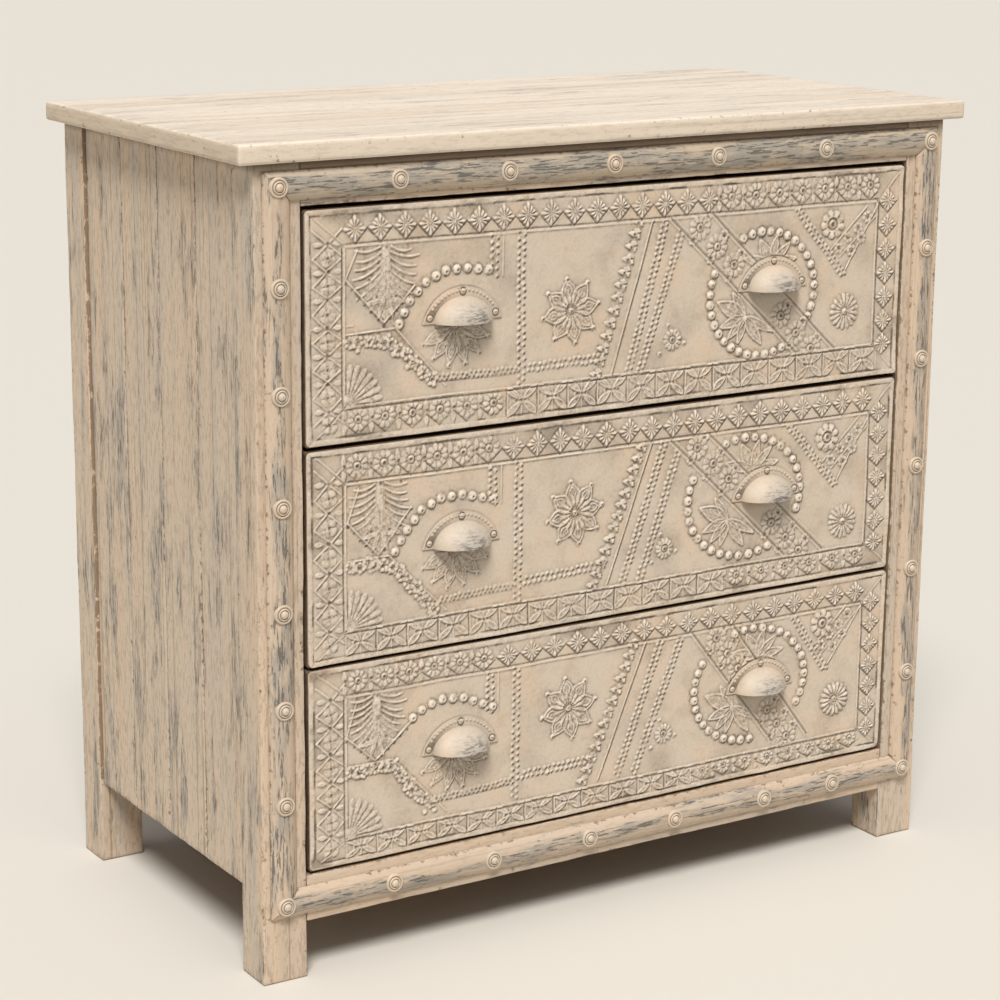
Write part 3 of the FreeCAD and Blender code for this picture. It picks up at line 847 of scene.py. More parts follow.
# Where the maker set the motifs by eye on each drawer
layouts = {
    "upper": {
        "field": [(-347, 38), (355, 206)],
        "frame": [(-346, 172), (-301, 123), (-264, 160)],
        "pearls": [(-283, 120), (-271, 143), (-252, 161), (-228, 172), (-201, 173), (-173, 169)],
        "chain": [(-341, 103), (-318, 104), (-292, 102), (-244, 57)],
        "chain_line": [(-345, 114), (-287, 116), (-226, 48)],
        "short_rope": [(-166, 164), (-166, 204)],
        "sill": [(-236, 58), (-140, 58)],
        "column": [(-132, 205), (-132, 40)],
        "stars": [(-214, 112), (-68, 115)],
        "square_foot": [(-122, 58), (-26, 59)],
        "leaf_row": [(20, 206), (-33, 40)],
        "slanted_line": [(38, 206), (-14, 38)],
        "first_rope": [(55, 204), (9, 40)],
        "second_rope": [(77, 191), (24, 39)],
        "small_flower": [(68, 70)],
        "ring": [(118, 41), (266, 183)],
        "band": [(61, 205), (241, 37), (118, 206), (297, 37)],
        "triangle": [(239, 205), (308, 125), (356, 203)],
        "wheel": [(291, 184)],
        "daisy": [(312, 81)],
    },
    "middle": {
        "field": [(-347, 36), (355, 204)],
        "frame": [(-345, 160), (-308, 119), (-268, 169)],
        "pearls": [(-288, 119), (-274, 141), (-256, 163), (-233, 174), (-204, 175), (-166, 165)],
        "chain": [(-342, 107), (-317, 110), (-294, 106), (-242, 47)],
        "chain_line": [(-345, 116), (-296, 116), (-224, 41)],
        "short_rope": [(-166, 162), (-166, 200)],
        "sill": [(-231, 54), (-141, 57)],
        "column": [(-133, 203), (-133, 40)],
        "stars": [(-214, 112), (-59, 133)],
        "square_foot": [(-122, 61), (-17, 65)],
        "leaf_row": [(30, 200), (-33, 40)],
        "slanted_line": [(43, 203), (-15, 39)],
        "first_rope": [(60, 201), (6, 39)],
        "second_rope": [(80, 188), (29, 38)],
        "small_flower": [(64, 72)],
        "ring": [(95, 47), (256, 195)],
        "band": [(68, 202), (234, 37), (122, 203), (290, 37)],
        "triangle": [(239, 202), (308, 120), (354, 198)],
        "wheel": [(294, 181)],
        "daisy": [(321, 70)],
    },
    "lower": {
        "field": [(-348, 32), (356, 206)],
        "frame": [(-348, 157), (-313, 122), (-266, 165)],
        "pearls": [(-266, 167), (-249, 178), (-227, 183), (-202, 180), (-188, 173), (-164, 162)],
        "chain": [(-343, 111), (-318, 112), (-292, 109), (-244, 52)],
        "chain_line": [(-345, 120), (-291, 119), (-223, 40)],
        "short_rope": [(-168, 158), (-168, 204)],
        "sill": [(-239, 58), (-142, 62)],
        "column": [(-134, 205), (-134, 40)],
        "stars": [(-214, 114), (-63, 140)],
        "square_foot": [(-122, 66), (-32, 68)],
        "leaf_row": [(25, 206), (-42, 40)],
        "slanted_line": [(41, 206), (-22, 38)],
        "first_rope": [(62, 205), (4, 40)],
        "second_rope": [(91, 205), (28, 40)],
        "small_flower": [(69, 81)],
        "ring": [(111, 50), (272, 200)],
        "band": [(104, 208), (226, 38), (164, 206), (278, 38)],
        "triangle": [(254, 204), (303, 126), (356, 204)],
        "wheel": [(297, 189)],
        "daisy": [(320, 81)],
    },
}
ring_arcs = {
    # the spans of the ring that have pearls, in degrees
    "upper": ((-27, 113), (157, 294)),
    "middle": ((-19, 111), (156, 296)),
    "lower": ((-29, 107), (149, 272)),
}
border_plan = {
    # where along u the top border, then the bottom border, turns from its first motif to its second
    "upper": (("diamond", 128, "rosette"), ("rosette", -150, "tile")),
    "middle": (("rosette", -155, "diamond"), ("tile", 150, "rosette")),
    "lower": (("rosette", -160, "diamond"), ("tile", 110, "rosette")),
}
border_pitch = {"diamond": 30.6, "rosette": 33.5, "tile": 39.5}


def soften(heights, reach):
    """Blur a grid of heights over a reach in millimetres."""
    size = int(3 * reach / relief_cell)
    weights = np.exp(-((np.arange(-size, size + 1) * relief_cell / reach) ** 2) / 2)
    weights /= weights.sum()
    padded = np.pad(heights, size, mode="edge")
    padded = np.apply_along_axis(np.convolve, 0, padded, weights, mode="valid")
    return np.apply_along_axis(np.convolve, 1, padded, weights, mode="valid")


def walk(points, pitch):
    """Places a pitch apart along a line of points."""
    points = np.array(points, float)
    far = np.append(0, np.cumsum(np.hypot(*np.diff(points, axis=0).T)))
    stops = np.linspace(0, far[-1], max(2, round(far[-1] / pitch) + 1))
    return np.stack((np.interp(stops, far, points[:, 0]), np.interp(stops, far, points[:, 1])), axis=1)


class Relief:
    """Heights hammered up from a sheet, over a grid of points, and how dark its punched places are."""

    def __init__(self, half_width, height, seed):
        self.half_width = half_width
        self.top = height
        self.across = np.linspace(-half_width, half_width, round(2 * half_width / relief_cell) + 1)
        self.up = np.linspace(0, height, round(height / relief_cell) + 1)
        self.heights = np.zeros((len(self.up), len(self.across)))
        self.dark = np.zeros_like(self.heights)
        self.hand = np.random.default_rng(seed)

    def patch(self, u, v, reach_u, reach_v=None):
        """The grid around a place, with its points measured from that place."""
        reach_v = reach_u if reach_v is None else reach_v
        columns = slice(*np.searchsorted(self.across, (u - reach_u, u + reach_u)))
        rows = slice(*np.searchsorted(self.up, (v - reach_v, v + reach_v)))
        side, above = np.meshgrid(self.across[columns] - u, self.up[rows] - v)
        return (rows, columns), side, above

    def lift(self, where, heights):
        """Raise part of the sheet, each time a little more or less."""
        self.heights[where] = np.maximum(self.heights[where], heights * self.hand.uniform(0.8, 1.1))

    def dome(self, u, v, radius, rise):
        """A round bump."""
        where, side, above = self.patch(u, v, radius)
        self.lift(where, rise * np.clip(1 - (side ** 2 + above ** 2) / radius ** 2, 0, 1) ** 0.65)

    def lobe(self, u, v, half_u, half_v, rise):
        """A flat-topped oval."""
        where, side, above = self.patch(u, v, half_u, half_v)
        self.lift(where, rise * np.clip(2.5 * (1 - np.hypot(side / half_u, above / half_v)), 0, 1))

    def pit(self, u, v, radius, depth):
        """A round dent."""
        where, side, above = self.patch(u, v, radius)
        self.heights[where] -= depth * swell(np.hypot(side, above) / radius)

    def punch(self, u, v, radius=1.9, depth=1.5, shade=1.7):
        """A hole punched a little below and beside a place, as the tool slips."""
        u += self.hand.uniform(0.2, 1.2)
        v -= self.hand.uniform(0.4, 1.6)
        radius *= punch_size
        self.pit(u, v, radius, depth)
        where, side, above = self.patch(u, v, radius)
        hole = shade * swell(np.hypot(side, above) / radius) * self.hand.uniform(0.45, 1.1)
        self.dark[where] = np.maximum(self.dark[where], np.clip(hole, 0, 1))

    def pearl(self, u, v, radius=5.5, rise=2.6):
        """A large round bump with a hole punched in it."""
        self.dome(u, v, radius * self.hand.uniform(0.92, 1.06), rise)
        self.punch(u, v, 1.9, self.hand.uniform(0.8, 2.2), 0.95)

    def stretches(self, points, reach):
        """Each straight stretch of a line: the grid around it and the distance of its points."""
        for (u0, v0), (u1, v1) in zip(points, points[1:]):
            run_u = u1 - u0
            run_v = v1 - v0
            where, side, above = self.patch(
                (u0 + u1) / 2, (v0 + v1) / 2, abs(run_u) / 2 + reach, abs(run_v) / 2 + reach
            )
            share = np.clip((side * run_u + above * run_v) / (run_u ** 2 + run_v ** 2), -0.5, 0.5)
            yield where, np.hypot(side - share * run_u, above - share * run_v)

    def ridge(self, points, width=2.8, rise=1.0):
        """A raised line."""
        for where, gap in self.stretches(points, width / 2):
            self.lift(where, rise * swell(2 * gap / width))

    def groove(self, points, width=2.2, depth=0.5, shade=0.0):
        """A sunk line, more or less dark."""
        for where, gap in self.stretches(points, width / 2):
            near = swell(2 * gap / width)
            self.heights[where] = self.heights[where] * (1 - near) - depth * near
            self.dark[where] = np.maximum(self.dark[where], shade * near)

    def rope(self, points, pitch=6.6, half=3.0, rise=1.2):
        """A narrow band of small lumps in two rows, with a hole punched beside each."""
        run = np.subtract(points[1], points[0])
        run = run / math.hypot(*run)
        side = np.array((-run[1], run[0]))
        for place in walk(points, pitch):
            for row in (-1, 1):
                u, v = place + row * (side * half + run * pitch / 4) + self.hand.uniform(-0.6, 0.6, 2)
                self.dome(u, v, self.hand.uniform(2.3, 3.1), rise * 0.75)
                self.punch(u + 0.8, v - 1.0, 1.8, self.hand.uniform(0.8, 1.8))

    def flower(self, u, v, inner, outer, petals, rise, pointed=False, turn=0.0, spread=full_turn):
        """Petals around a place, over a spread of angles from a first one."""
        where, side, above = self.patch(u, v, outer)
        out = np.clip((np.hypot(side, above) - inner) / (outer - inner), 0, 1)
        angle = np.mod(np.arctan2(above, side) - turn, full_turn)
        share = angle * petals / full_turn - 0.5
        off = np.abs(share - np.rint(share)) * 2
        rounded = np.sqrt(np.clip(1 - np.clip(out * 3 - 2, 0, 1) ** 2, 0, 1)) * (out > 0)
        width = np.sin(math.pi * out) if pointed else rounded
        body = np.clip(1 - (off / np.maximum(0.96 * width, 1e-3)) ** 2, 0, 1) ** 0.5
        crown = 0.55 + 0.45 * np.sin(math.pi * np.clip(out, 0.1, 1) ** 0.8)
        self.lift(where, rise * body * crown * (angle < spread))

    def rosette(self, u, v, radius=14.5, petals=12, rise=1.4):
        """A round flower with a punched knob."""
        self.flower(u, v, radius * 0.42, radius, petals, rise * 0.85, turn=self.hand.uniform(0, 1))
        self.dome(u, v, radius * 0.32, rise * 1.5)
        self.punch(u - 0.5, v + 0.7, max(2.2, radius * 0.21), rise * 1.8)

    def leaf_grid(self, u, v, angle, length, width):
        """The grid around a leaf: how far along it and off its vein a point is, and the half width there."""
        where, side, above = self.patch(u, v, length)
        along = (side * math.cos(angle) + above * math.sin(angle)) / length
        off = np.abs(above * math.cos(angle) - side * math.sin(angle))
        half = width / 2 * np.sin(math.pi * np.clip(along, 0, 1) ** 0.85)
        return where, along, off, half

    def leaf(self, u, v, angle, length, width, rise):
        """A pointed leaf from a place, with a vein."""
        where, _, off, half = self.leaf_grid(u, v, angle, length, width)
        body = np.clip(1 - (off / np.maximum(half, 1e-3)) ** 2, 0, 1) ** 0.6
        self.lift(where, rise * body * (1 - 0.4 * swell(off / 1.1)))

    def outlined_leaf(self, u, v, angle, length, width, rise):
        """A pointed leaf with a raised edge and vein."""
        where, along, off, half = self.leaf_grid(u, v, angle, length, width)
        inside = (along > 0) & (along < 1)
        edge = swell(np.abs(off - half) / 1.7) * inside
        vein = swell(off / 1.4) * 0.6 * inside * (off < half)
        body = 0.35 * inside * (off < half)
        self.lift(where, rise * np.maximum(np.maximum(edge, vein), body))

    def ring(self, u, v, radius, width, rise):
        """A raised circle."""
        where, side, above = self.patch(u, v, radius + width)
        self.lift(where, rise * swell(np.abs(np.hypot(side, above) - radius) * 2 / width))

    def fan_diamond(self, u, v, half_u, half_v, rise=1.9):
        """A fluted diamond with dark lines under its lower sides."""
        where, side, above = self.patch(u, v, half_u, half_v)
        out = np.abs(side) / half_u + np.abs(above) / half_v
        angle = np.arctan2(above / half_v, side / half_u)
        flutes = np.where(out < 0.16, 0.6, 0.15 + 0.85 * (0.5 + 0.5 * np.cos(12 * angle)))
        self.lift(where, rise * np.clip((0.96 - out) / 0.22, 0, 1) ** 0.7 * flutes)
        self.groove([(u - half_u, v), (u, v - half_v), (u + half_u, v)], 2.4, 0.8, 0.55)

    def cross_tile(self, u, v, half_u, half_v, rise=1.3):
        """A tile of four pointed leaves from a punched middle into its corners, with a slit at each end."""
        for sign in (-1, 1):
            for sign_v in (-1, 1):
                corner = (u + sign * half_u * 0.97, v + sign_v * half_v)
                inward = math.atan2(-sign_v * half_v, -sign * half_u)
                self.outlined_leaf(*corner, inward, math.hypot(half_u, half_v) * 0.9, half_v * 0.40, rise)
            self.ridge([(u, v), (u, v + sign * half_v)], 2.4, 0.7)
            self.dome(u + sign * half_u * 0.42, v, 2.6, 1.0)
            self.punch(u + sign * half_u * 0.40, v + 1, 1.9, 1.3)
            edge = u + sign * half_u
            self.ridge([(edge + 1.7, v - half_v), (edge + 1.7, v + half_v)], 2.2, 0.9)
            self.groove([(edge, v - half_v), (edge, v + half_v)], 2.0, 0.75, 0.5)
        self.dome(u, v, 3.0, 1.2)
        self.punch(u - 0.7, v + 1, 2.0, 1.9)

    def lozenge_chain(self, u, half_u, start, end, pitch=31):
        """Crossing lines up a border, with a flower at each crossing and a hole in each lozenge."""
        count = round((end - start) / pitch)
        step = (end - start) / count
        for number in range(count):
            low = start + number * step
            for sign in (-1, 1):
                bend = self.hand.uniform(-2, 2, 2)
                turn = (u + bend[0], low + step / 2 + bend[1])
                self.ridge([(u - sign * half_u, low), turn, (u + sign * half_u, low + step)], 2.8, 1.15)
            self.flower(u, low, 2.0, 10.0, 4, 0.9, turn=self.hand.uniform(0, 0.3))
            for sign in (-1, 1):
                self.leaf(u + sign * half_u, low + step / 2, math.pi * (sign > 0), half_u * 0.7, 6.5, 1.1)
            self.dome(u, low, 3.4, 1.4)
            self.punch(u - 0.7, low + 1, 2.4, 1.7)
            self.punch(u - 0.7, low + step / 2 + 1, 2.7, 1.4)


def star(relief, u, v, radius, rise, leaves=8, span=full_turn):
    """Outlined leaves with a punched dot at each tip, over a span of angles around a rayed middle."""
    width = radius * 4 / leaves
    for number in range(round(leaves * span / full_turn)):
        angle = 0.16 - number * full_turn / leaves
        away = np.array((math.cos(angle), math.sin(angle)))
        place = np.array((u, v))
        relief.outlined_leaf(*(place + away * radius * 0.22), angle, radius * 0.76, width, rise)
        relief.outlined_leaf(*(place + away * radius * 0.48), angle, radius * 0.36, width * 0.45, rise)
        relief.dome(*(place + away * radius), 3.3, rise * 1.1)
        relief.punch(*(place + away * radius), 1.9, rise * 1.2)
    relief.flower(u, v, radius * 0.1, radius * 0.62, 16, rise * 1.1, pointed=True)
    relief.dome(u, v, 3.6, rise * 1.3)
    relief.punch(u - 0.6, v + 0.8, 1.9, rise * 1.3)


def palmette(relief, spots):
    """Feathers that sag and fan out on both sides of a flared stem, in a pointed frame."""
    left, tip, right = spots["frame"]
    top = spots["field"][1][1]
    tall = top - tip[1]
    stem = tip[0] + 2
    heart = np.array((stem, top - tall * 0.33))
    relief.leaf(stem, top - tall * 0.35, -math.pi / 2, tall * 0.62, tall * 0.66, 0.7)
    share = np.linspace(0, 1, 9)[:, None]
    for sign in (-1, 1):
        for number in range(feather_count):
            lean = math.radians(30 - 13.5 * number)
            start_u = stem + sign * tall * (0.075 - 0.008 * number)
            start = np.array((start_u, top - tall * (0.03 + 0.068 * number)))
            reach = tall * relief.hand.uniform(0.84, 1.04)
            end = heart + reach * np.array((sign * 0.49 * math.cos(lean), 0.54 * math.sin(lean)))
            sag = (start + end) / 2 - (0, tall * 0.09 * math.cos(lean))
            feather = (1 - share) ** 2 * start + 2 * share * (1 - share) * sag + share ** 2 * end
            relief.ridge(feather[3:7], 4.4, 1.25)
            relief.ridge(feather, 3.2, 1.15)
        relief.leaf(stem, top - tall * 0.60, -math.pi / 2 + sign * 0.3, tall * 0.40, 6.5, 1.6)
        relief.leaf(stem, top - tall * 0.70, -math.pi / 2 + sign * 1.4, tall * 0.33, 6.5, 1.7)
        relief.punch(stem + sign * tall * 0.25, top - tall * 0.42, 2.6, 1.7)
        relief.punch(stem + sign * tall * 0.14, top - tall * 0.66, 2.0, 1.4)
        relief.punch(stem + sign * tall * 0.32, top - tall * 0.03, 2.6, 1.6)
    relief.punch(stem, top - tall * 0.03, 2.8, 1.6)
    relief.leaf(stem, tip[1] + tall * 0.30, math.pi / 2, tall * 0.70, 15, 1.2)
    relief.lobe(stem, top - tall * 0.22, tall * 0.085, tall * 0.25, 1.2)
    for line in ((left, tip), (tip, right)):
        relief.ridge(line, 3.0, 1.4)
        for u, v in walk(line, 11):
            relief.punch(u, v - 3, 2.0, 0.9)
    relief.ridge([(left[0] + 14, top - 4), left], 2.6, 1.1)


def left_field(relief, spots):
    """The palmette, the pearls over the pull, the corner fan and the flower chain."""
    corner_u, corner_v = spots["field"][0]
    palmette(relief, spots)
    star(relief, *spots["stars"][0], 43, 1.1, 13, 1.05 * math.pi)
    relief.flower(corner_u + 2, corner_v + 2, 9, 43, 28, 1.4, spread=math.pi / 2)
    relief.lobe(corner_u + 4, corner_v + 4, 10, 10, 1.0)
    for u, v in walk(spots["chain"], 10):
        side, above = relief.hand.uniform(-2.5, 2.5, 2)
        relief.rosette(u + side, v + above, relief.hand.uniform(6.5, 8), 6, 1.8)
        for side, above in relief.hand.uniform(-8, 8, (2, 2)):
            relief.dome(u + side, v + above, relief.hand.uniform(2.2, 3.4), 1.5)
    relief.ridge(spots["chain_line"], 2.8, 1.3)
    for u, v in walk(spots["pearls"], 13.2):
        relief.pearl(u, v)
    relief.rope(spots["short_rope"], 7.5, 3.6, 1.5)
    (rope_u, rope_low), (_, rope_high) = spots["short_rope"]
    relief.ridge([(rope_u + 11, rope_low - 3), (rope_u + 11, rope_high + 2)], 2.4, 0.9)
    relief.rope(spots["sill"], 5.6, 2.0, 0.9)
    relief.groove([(u, v - 5.5) for u, v in spots["sill"]], 2.4, 0.5, 0.5)
    relief.rope(spots["column"], 7.4, 3.4, 1.2)


def middle_field(relief, spots):
    """The star square and the slanted bands beside it."""
    star(relief, *spots["stars"][1], 36, 1.6)
    relief.rope(spots["square_foot"], 6.4, 3.2, 1.5)
    for u, v in walk(spots["leaf_row"], 14):
        relief.leaf(u + 3, v, math.pi * 0.93, 13, 7.5, 1.8)
        relief.leaf(u - 2, v + 6, -0.3, 10, 6, 1.5)
        relief.dome(u + 4, v - 2, 3.0, 2.0)
        relief.punch(u - 2, v + 1, 2.2, 1.6)
        relief.punch(u + 5, v - 1, 1.8, 1.4)
    relief.ridge(spots["slanted_line"], 2.8, 1.0)
    relief.groove([(u + 2.2, v) for u, v in spots["slanted_line"]], 3.4, 0.8, 1.0)
    relief.rope(spots["first_rope"], 6.4, 3.0, 1.4)
    relief.rope(spots["second_rope"], 6.4, 3.0, 1.4)
    u, v = spots["small_flower"][0]
    relief.rosette(u, v, 12, 12, 1.5)
    relief.ring(u, v, 6, 2.4, 1.5)
    for side, above in ((-17, -14), (16, -5), (-6, 17)):
        relief.dome(u + side, v + above, 2.8, 1.6)
        relief.punch(u + side, v + above, 1.7, 1.2)


# Leaves of the two sprays in the ring: angle in degrees, length and width
low_spray = (
    (154, 44, 17), (123, 34, 10), (197, 36, 11), (226, 34, 9), (253, 32, 9), (305, 42, 12), (332, 44, 9),
)
high_spray = ((165, 40, 12), (118, 34, 14), (75, 34, 10), (40, 36, 9), (8, 38, 10), (-20, 34, 9))
# Where the flowers lie along the slanted band
band_shares = (0.07, 0.205, 0.34, 0.72, 0.85, 0.97)


def right_field(relief, spots, arcs):
    """The pearl ring with the slanted flower band through it, the triangle and the daisy."""
    low, high = np.array(spots["ring"], float)
    middle = (low + high) / 2
    radii = (high - low) / 2
    for first, last in arcs:
        for angle in np.radians(np.linspace(first, last, round((last - first) / 9.7) + 1)):
            relief.pearl(*(middle + radii * (math.cos(angle), math.sin(angle))))
    for heart, leaves in ((middle + (-24, -24), low_spray), (middle + (10, 32), high_spray)):
        for angle, length, width in leaves:
            relief.outlined_leaf(*heart, math.radians(angle), length, width, 1.4)
    lower_top, lower_foot, upper_top, upper_foot = np.array(spots["band"], float)
    for edge in ((lower_top, lower_foot), (upper_top, upper_foot)):
        relief.ridge(edge, 2.6, 0.9)
        relief.groove([place + (2.0, 2.0) for place in edge], 3.4, 0.8, 1.0)
        relief.ridge([place + (4.2, 4.2) for place in edge], 2.4, 0.6)
    start = (lower_top + upper_top) / 2
    end = (lower_foot + upper_foot) / 2
    for share in band_shares:
        u, v = start + (end - start) * share
        relief.rosette(u, v, 14.5, 10, 1.4)
        for side, above in ((10, 12), (-9, -13)):
            relief.rosette(u + side, v + above, 6.5, 6, 1.2)
    left, tip, right = spots["triangle"]
    relief.rope((left, tip), 6.4, 3.0, 1.3)
    relief.ridge((left, tip, right), 2.6, 1.2)
    relief.ridge([(tip[0] - 22, tip[1] + 27), (tip[0] + 33, tip[1] + 77)], 2.6, 1.1)
    relief.ridge([(tip[0] - 6, tip[1] + 20), (tip[0] + 45, tip[1] + 64)], 2.6, 1.0)
    for side, above in ((-7, 30), (6, 42), (20, 52), (33, 64), (11, 26), (25, 40)):
        relief.rosette(tip[0] + side, tip[1] + above, 7, 6, 1.3)
    u, v = spots["wheel"][0]
    relief.rosette(u, v, 17, 9, 1.8)
    relief.ring(u, v, 9, 3, 1.8)
    u, v = spots["daisy"][0]
    relief.flower(u, v, 5, 21, 17, 1.9)
    relief.dome(u, v, 4.6, 2.2)
    relief.punch(u, v, 1.9, 1.4)


def border_run(relief, v, half_v, motif, start, end):
    """One motif repeated along a level border."""
    count = max(1, round((end - start) / border_pitch[motif]))
    step = (end - start) / count
    for number in range(count):
        u = start + (number + 0.5) * step
        if motif == "diamond":
            relief.fan_diamond(u, v, step / 2, half_v)
        elif motif == "rosette":
            relief.rosette(u, v + 1.5, half_v * 0.86, 10)
            for sign in (-1, 1):
                relief.leaf(u - step / 2, v, sign * math.pi / 2, half_v, 6.5, 1.1)
            relief.punch(u - step / 2, v + half_v * 0.2, 2.2, 1.0)
            relief.groove([(u - step / 2, v - 2), (u, v - half_v), (u + step / 2, v - 2)], 2.4, 0.7, 0.65)
        else:
            relief.cross_tile(u, v, step / 2, half_v)


def borders(relief, spots, plan):
    """The four bands around the field, their lines and mitres."""
    (left, low), (right, high) = spots["field"]
    inner_top = relief.top - rim_width
    top_v = (high + inner_top) / 2 + 1
    top_half = (inner_top - high) / 2 - 1
    bottom_v = (rim_width + low) / 2
    bottom_half = (low - rim_width) / 2 - 0.5
    for v, half_v, (first, change, second) in ((top_v, top_half, plan[0]), (bottom_v, bottom_half, plan[1])):
        border_run(relief, v, half_v, first, left - 2, change)
        border_run(relief, v, half_v, second, change, right + 6)
    left_u = (left - relief.half_width + rim_width) / 2
    left_half = (left + relief.half_width - rim_width) / 2 - 2
    relief.lozenge_chain(left_u, left_half, rim_width + 14, inner_top - 14)
    right_u = (right + relief.half_width - rim_width) / 2
    right_half = (relief.half_width - rim_width - right) / 2 - 1
    count = round((high - low) / 27)
    step = (high - low) / count
    for number in range(count + 1):
        relief.fan_diamond(right_u, low + number * step, right_half, step / 2)
    corners = [(left, low), (right, low), (right, high), (left, high)]
    relief.ridge(corners + corners[:1], 2.6, 0.9)
    inset = 3.0
    inner = [(left - inset, low - inset), (right + inset, low - inset)]
    inner += [(right + inset, high + inset), (left - inset, high + inset)]
    relief.groove(inner + inner[:1], 2.8, 0.7, 0.8)
    edge = relief.half_width
    outer = [(-edge, 0), (edge, 0), (edge, relief.top), (-edge, relief.top)]
    for corner, end in zip(corners, outer):
        relief.groove([corner, end], 2.4, 0.7, 0.5)
        relief.ridge([(corner[0] + 2.4, corner[1]), (end[0] + 2.4, end[1])], 2.4, 0.8)


def rim(relief):
    """The plain folded rim, with a groove inside it that is broken in places."""
    to_side = relief.half_width - np.abs(relief.across)
    to_end = np.minimum(relief.up, relief.top - relief.up)
    gap = np.minimum(*np.meshgrid(to_side, to_end))
    folded = rim_height * np.clip((rim_width - gap) / 2.0, 0, 1) ** 0.6
    relief.heights = np.where(gap < rim_width, folded, relief.heights)
    broken = np.clip(0.35 + wander(relief, *broken_groove), 0, 1)
    relief.heights -= 1.1 * broken * swell(np.abs(gap - rim_width) / 1.7)
    relief.heights -= 0.4 * np.clip(1 - gap / 1.2, 0, 1) ** 2


def press_under_pulls(relief, level, low):
    """Flatten the sheet where the plates of the pulls lie on it, and paint the cups' shadow on the sheet
    below them.
    """
    for hand in ("left", "right"):
        pull_low, pull_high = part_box(f"{level}_{hand}_pull")
        half = (pull_high.x - pull_low.x) / 2 / mm
        rise = (pull_high.z - pull_low.z) / mm
        bow = bow_radius(half, rise)
        middle = (pull_high.x + pull_low.x) / 2 / mm
        base = (pull_low.z - low.z) / mm
        where, side, above = relief.patch(middle, base, half + 4, rise + 4)
        outside = np.maximum(np.hypot(side, above - rise + bow) - bow, -above)
        sheet = relief.heights[where]
        pressed = np.where(outside < plate_margin, np.minimum(sheet, 0), sheet)
        relief.heights[where] = pressed - 0.15 * swell(np.abs(outside - 1.2) / 1.5)
        # Painted shadow of the cup on the sheet below it
        dirt = swell(-above / shadow_reach_below_pull) * (above < 0) * np.clip(1 - (side / half) ** 2, 0, 1)
        relief.dark[where] = np.maximum(relief.dark[where], shadow_under_pull * dirt)


def rounded_corners(relief):
    """Move the grid's points so that the sheet's corners are round."""
    u, v = np.meshgrid(relief.across, relief.up)
    middle = relief.top / 2
    off_u = (np.abs(u) - (relief.half_width - corner_round)) / corner_round
    off_v = (np.abs(v - middle) - (middle - corner_round)) / corner_round
    corner = (off_u > 0) & (off_v > 0)
    squeeze = np.where(corner, np.maximum(off_u, off_v) / np.hypot(off_u, off_v).clip(1e-6), 1)
    u = np.where(corner, np.sign(u) * (relief.half_width - corner_round * (1 - off_u * squeeze)), u)
    v = np.where(corner, middle + np.sign(v - middle) * (middle - corner_round * (1 - off_v * squeeze)), v)
    return u, v


def wander(relief, reach, size):
    """A slow random drift over the sheet, as from a pattern laid out by eye."""
    drift = soften(relief.hand.normal(size=relief.heights.shape), reach)
    return drift * size / drift.std()


def hammered_relief(level, low, high, seed):
    """The relief of one drawer's sheet, and how far each place of it is worked."""
    relief = Relief((high.x - low.x) / 2 / mm, (high.z - low.z) / mm, seed)
    stretch = relief.top / pattern_height
    spots = {name: [(u, v * stretch) for u, v in places] for name, places in layouts[level].items()}
    left_field(relief, spots)
    middle_field(relief, spots)
    right_field(relief, spots, ring_arcs[level])
    borders(relief, spots, border_plan[level])
    rim(relief)
    worked = np.clip(soften(np.abs(relief.heights), 3) / 0.5 - 0.15, 0, 1)
    relief.heights *= np.clip(1 + wander(relief, *uneven_rise), 0.5, 1.4)
    relief.heights += (0.15 + 0.85 * worked) * wander(relief, *rough_skin)
    relief.heights += wander(relief, *slack_field)
    press_under_pulls(relief, level, low)
    relief.heights = np.maximum(soften(relief.heights, 0.45), deepest)
    return relief, worked


def dirt_and_shade_places(relief):
    """Where the sheet is darkened: dirt beside raised places, in dents and in punched holes, and painted
    shadow below them.
    """
    heights = relief.heights
    fine = np.clip((soften(heights, 1.4) - heights) / 0.30, 0, 1)
    coarse = np.clip((soften(heights, 4) - heights) / 0.8, 0, 1)
    # Painted shadow below each raised place, as from light above
    above = np.pad(heights, ((0, 2), (1, 0)), mode="edge")[2:, :-1]
    under = np.clip((above - heights) / 0.9, 0, 1)
    dents = np.clip(-heights / 1.2, 0, 0.6)
    hollow = np.clip(0.45 * fine + 0.2 * coarse + 0.5 * under + dents, 0, 1)
    return np.maximum(hollow, soften(relief.dark, 0.4))


def embossed_sheet(level, seed):
    """The embossed sheet of one drawer, in three panels side by side."""
    node = f"{level}_drawer_sheet"
    low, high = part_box(node)
    relief, worked = hammered_relief(level, low, high, seed)
    heights = relief.heights
    u, v = rounded_corners(relief)
    to_edge = np.minimum(relief.half_width - np.abs(u), np.minimum(v, relief.top - v))
    loose = np.clip(to_edge / 14 - 0.3, 0, 1)
    u = u + loose * wander(relief, *loose_drawing)
    v = v + loose * wander(relief, *loose_drawing)
    front = np.stack((u * mm, front_y - heights * mm, low.z + v * mm), axis=-1)
    marks = {
        "hollow": dirt_and_shade_places(relief) * np.clip(to_edge / 3, 0.2, 1),
        # Raised places are paler: rubbed paint, and a painted highlight
        "raised": np.clip((heights - soften(heights, 5)) / 1.1, 0, 1),
        "worked": worked,
    }
    cuts = [0, *np.searchsorted(relief.across, panel_cuts), len(relief.across) - 1]
    for number, (start, end) in enumerate(zip(cuts, cuts[1:])):
        part = slice(start, end + 1)
        mesh, row, column = backed_surface(f"{node}_{number + 1}", front[:, part], high.y)
        for name, field in marks.items():
            values = np.zeros(len(mesh.vertices))
            values[:len(row)] = field[:, part][row, column]
            store(mesh, name, values)
        lay_flat_map(mesh, row, column)
        add_piece(mesh, sheet_paint, f"{level}_drawer", "embossed_sheet", node)


for number, level in enumerate(levels):
    embossed_sheet(level, sheet_seed + number)

# The cup pulls

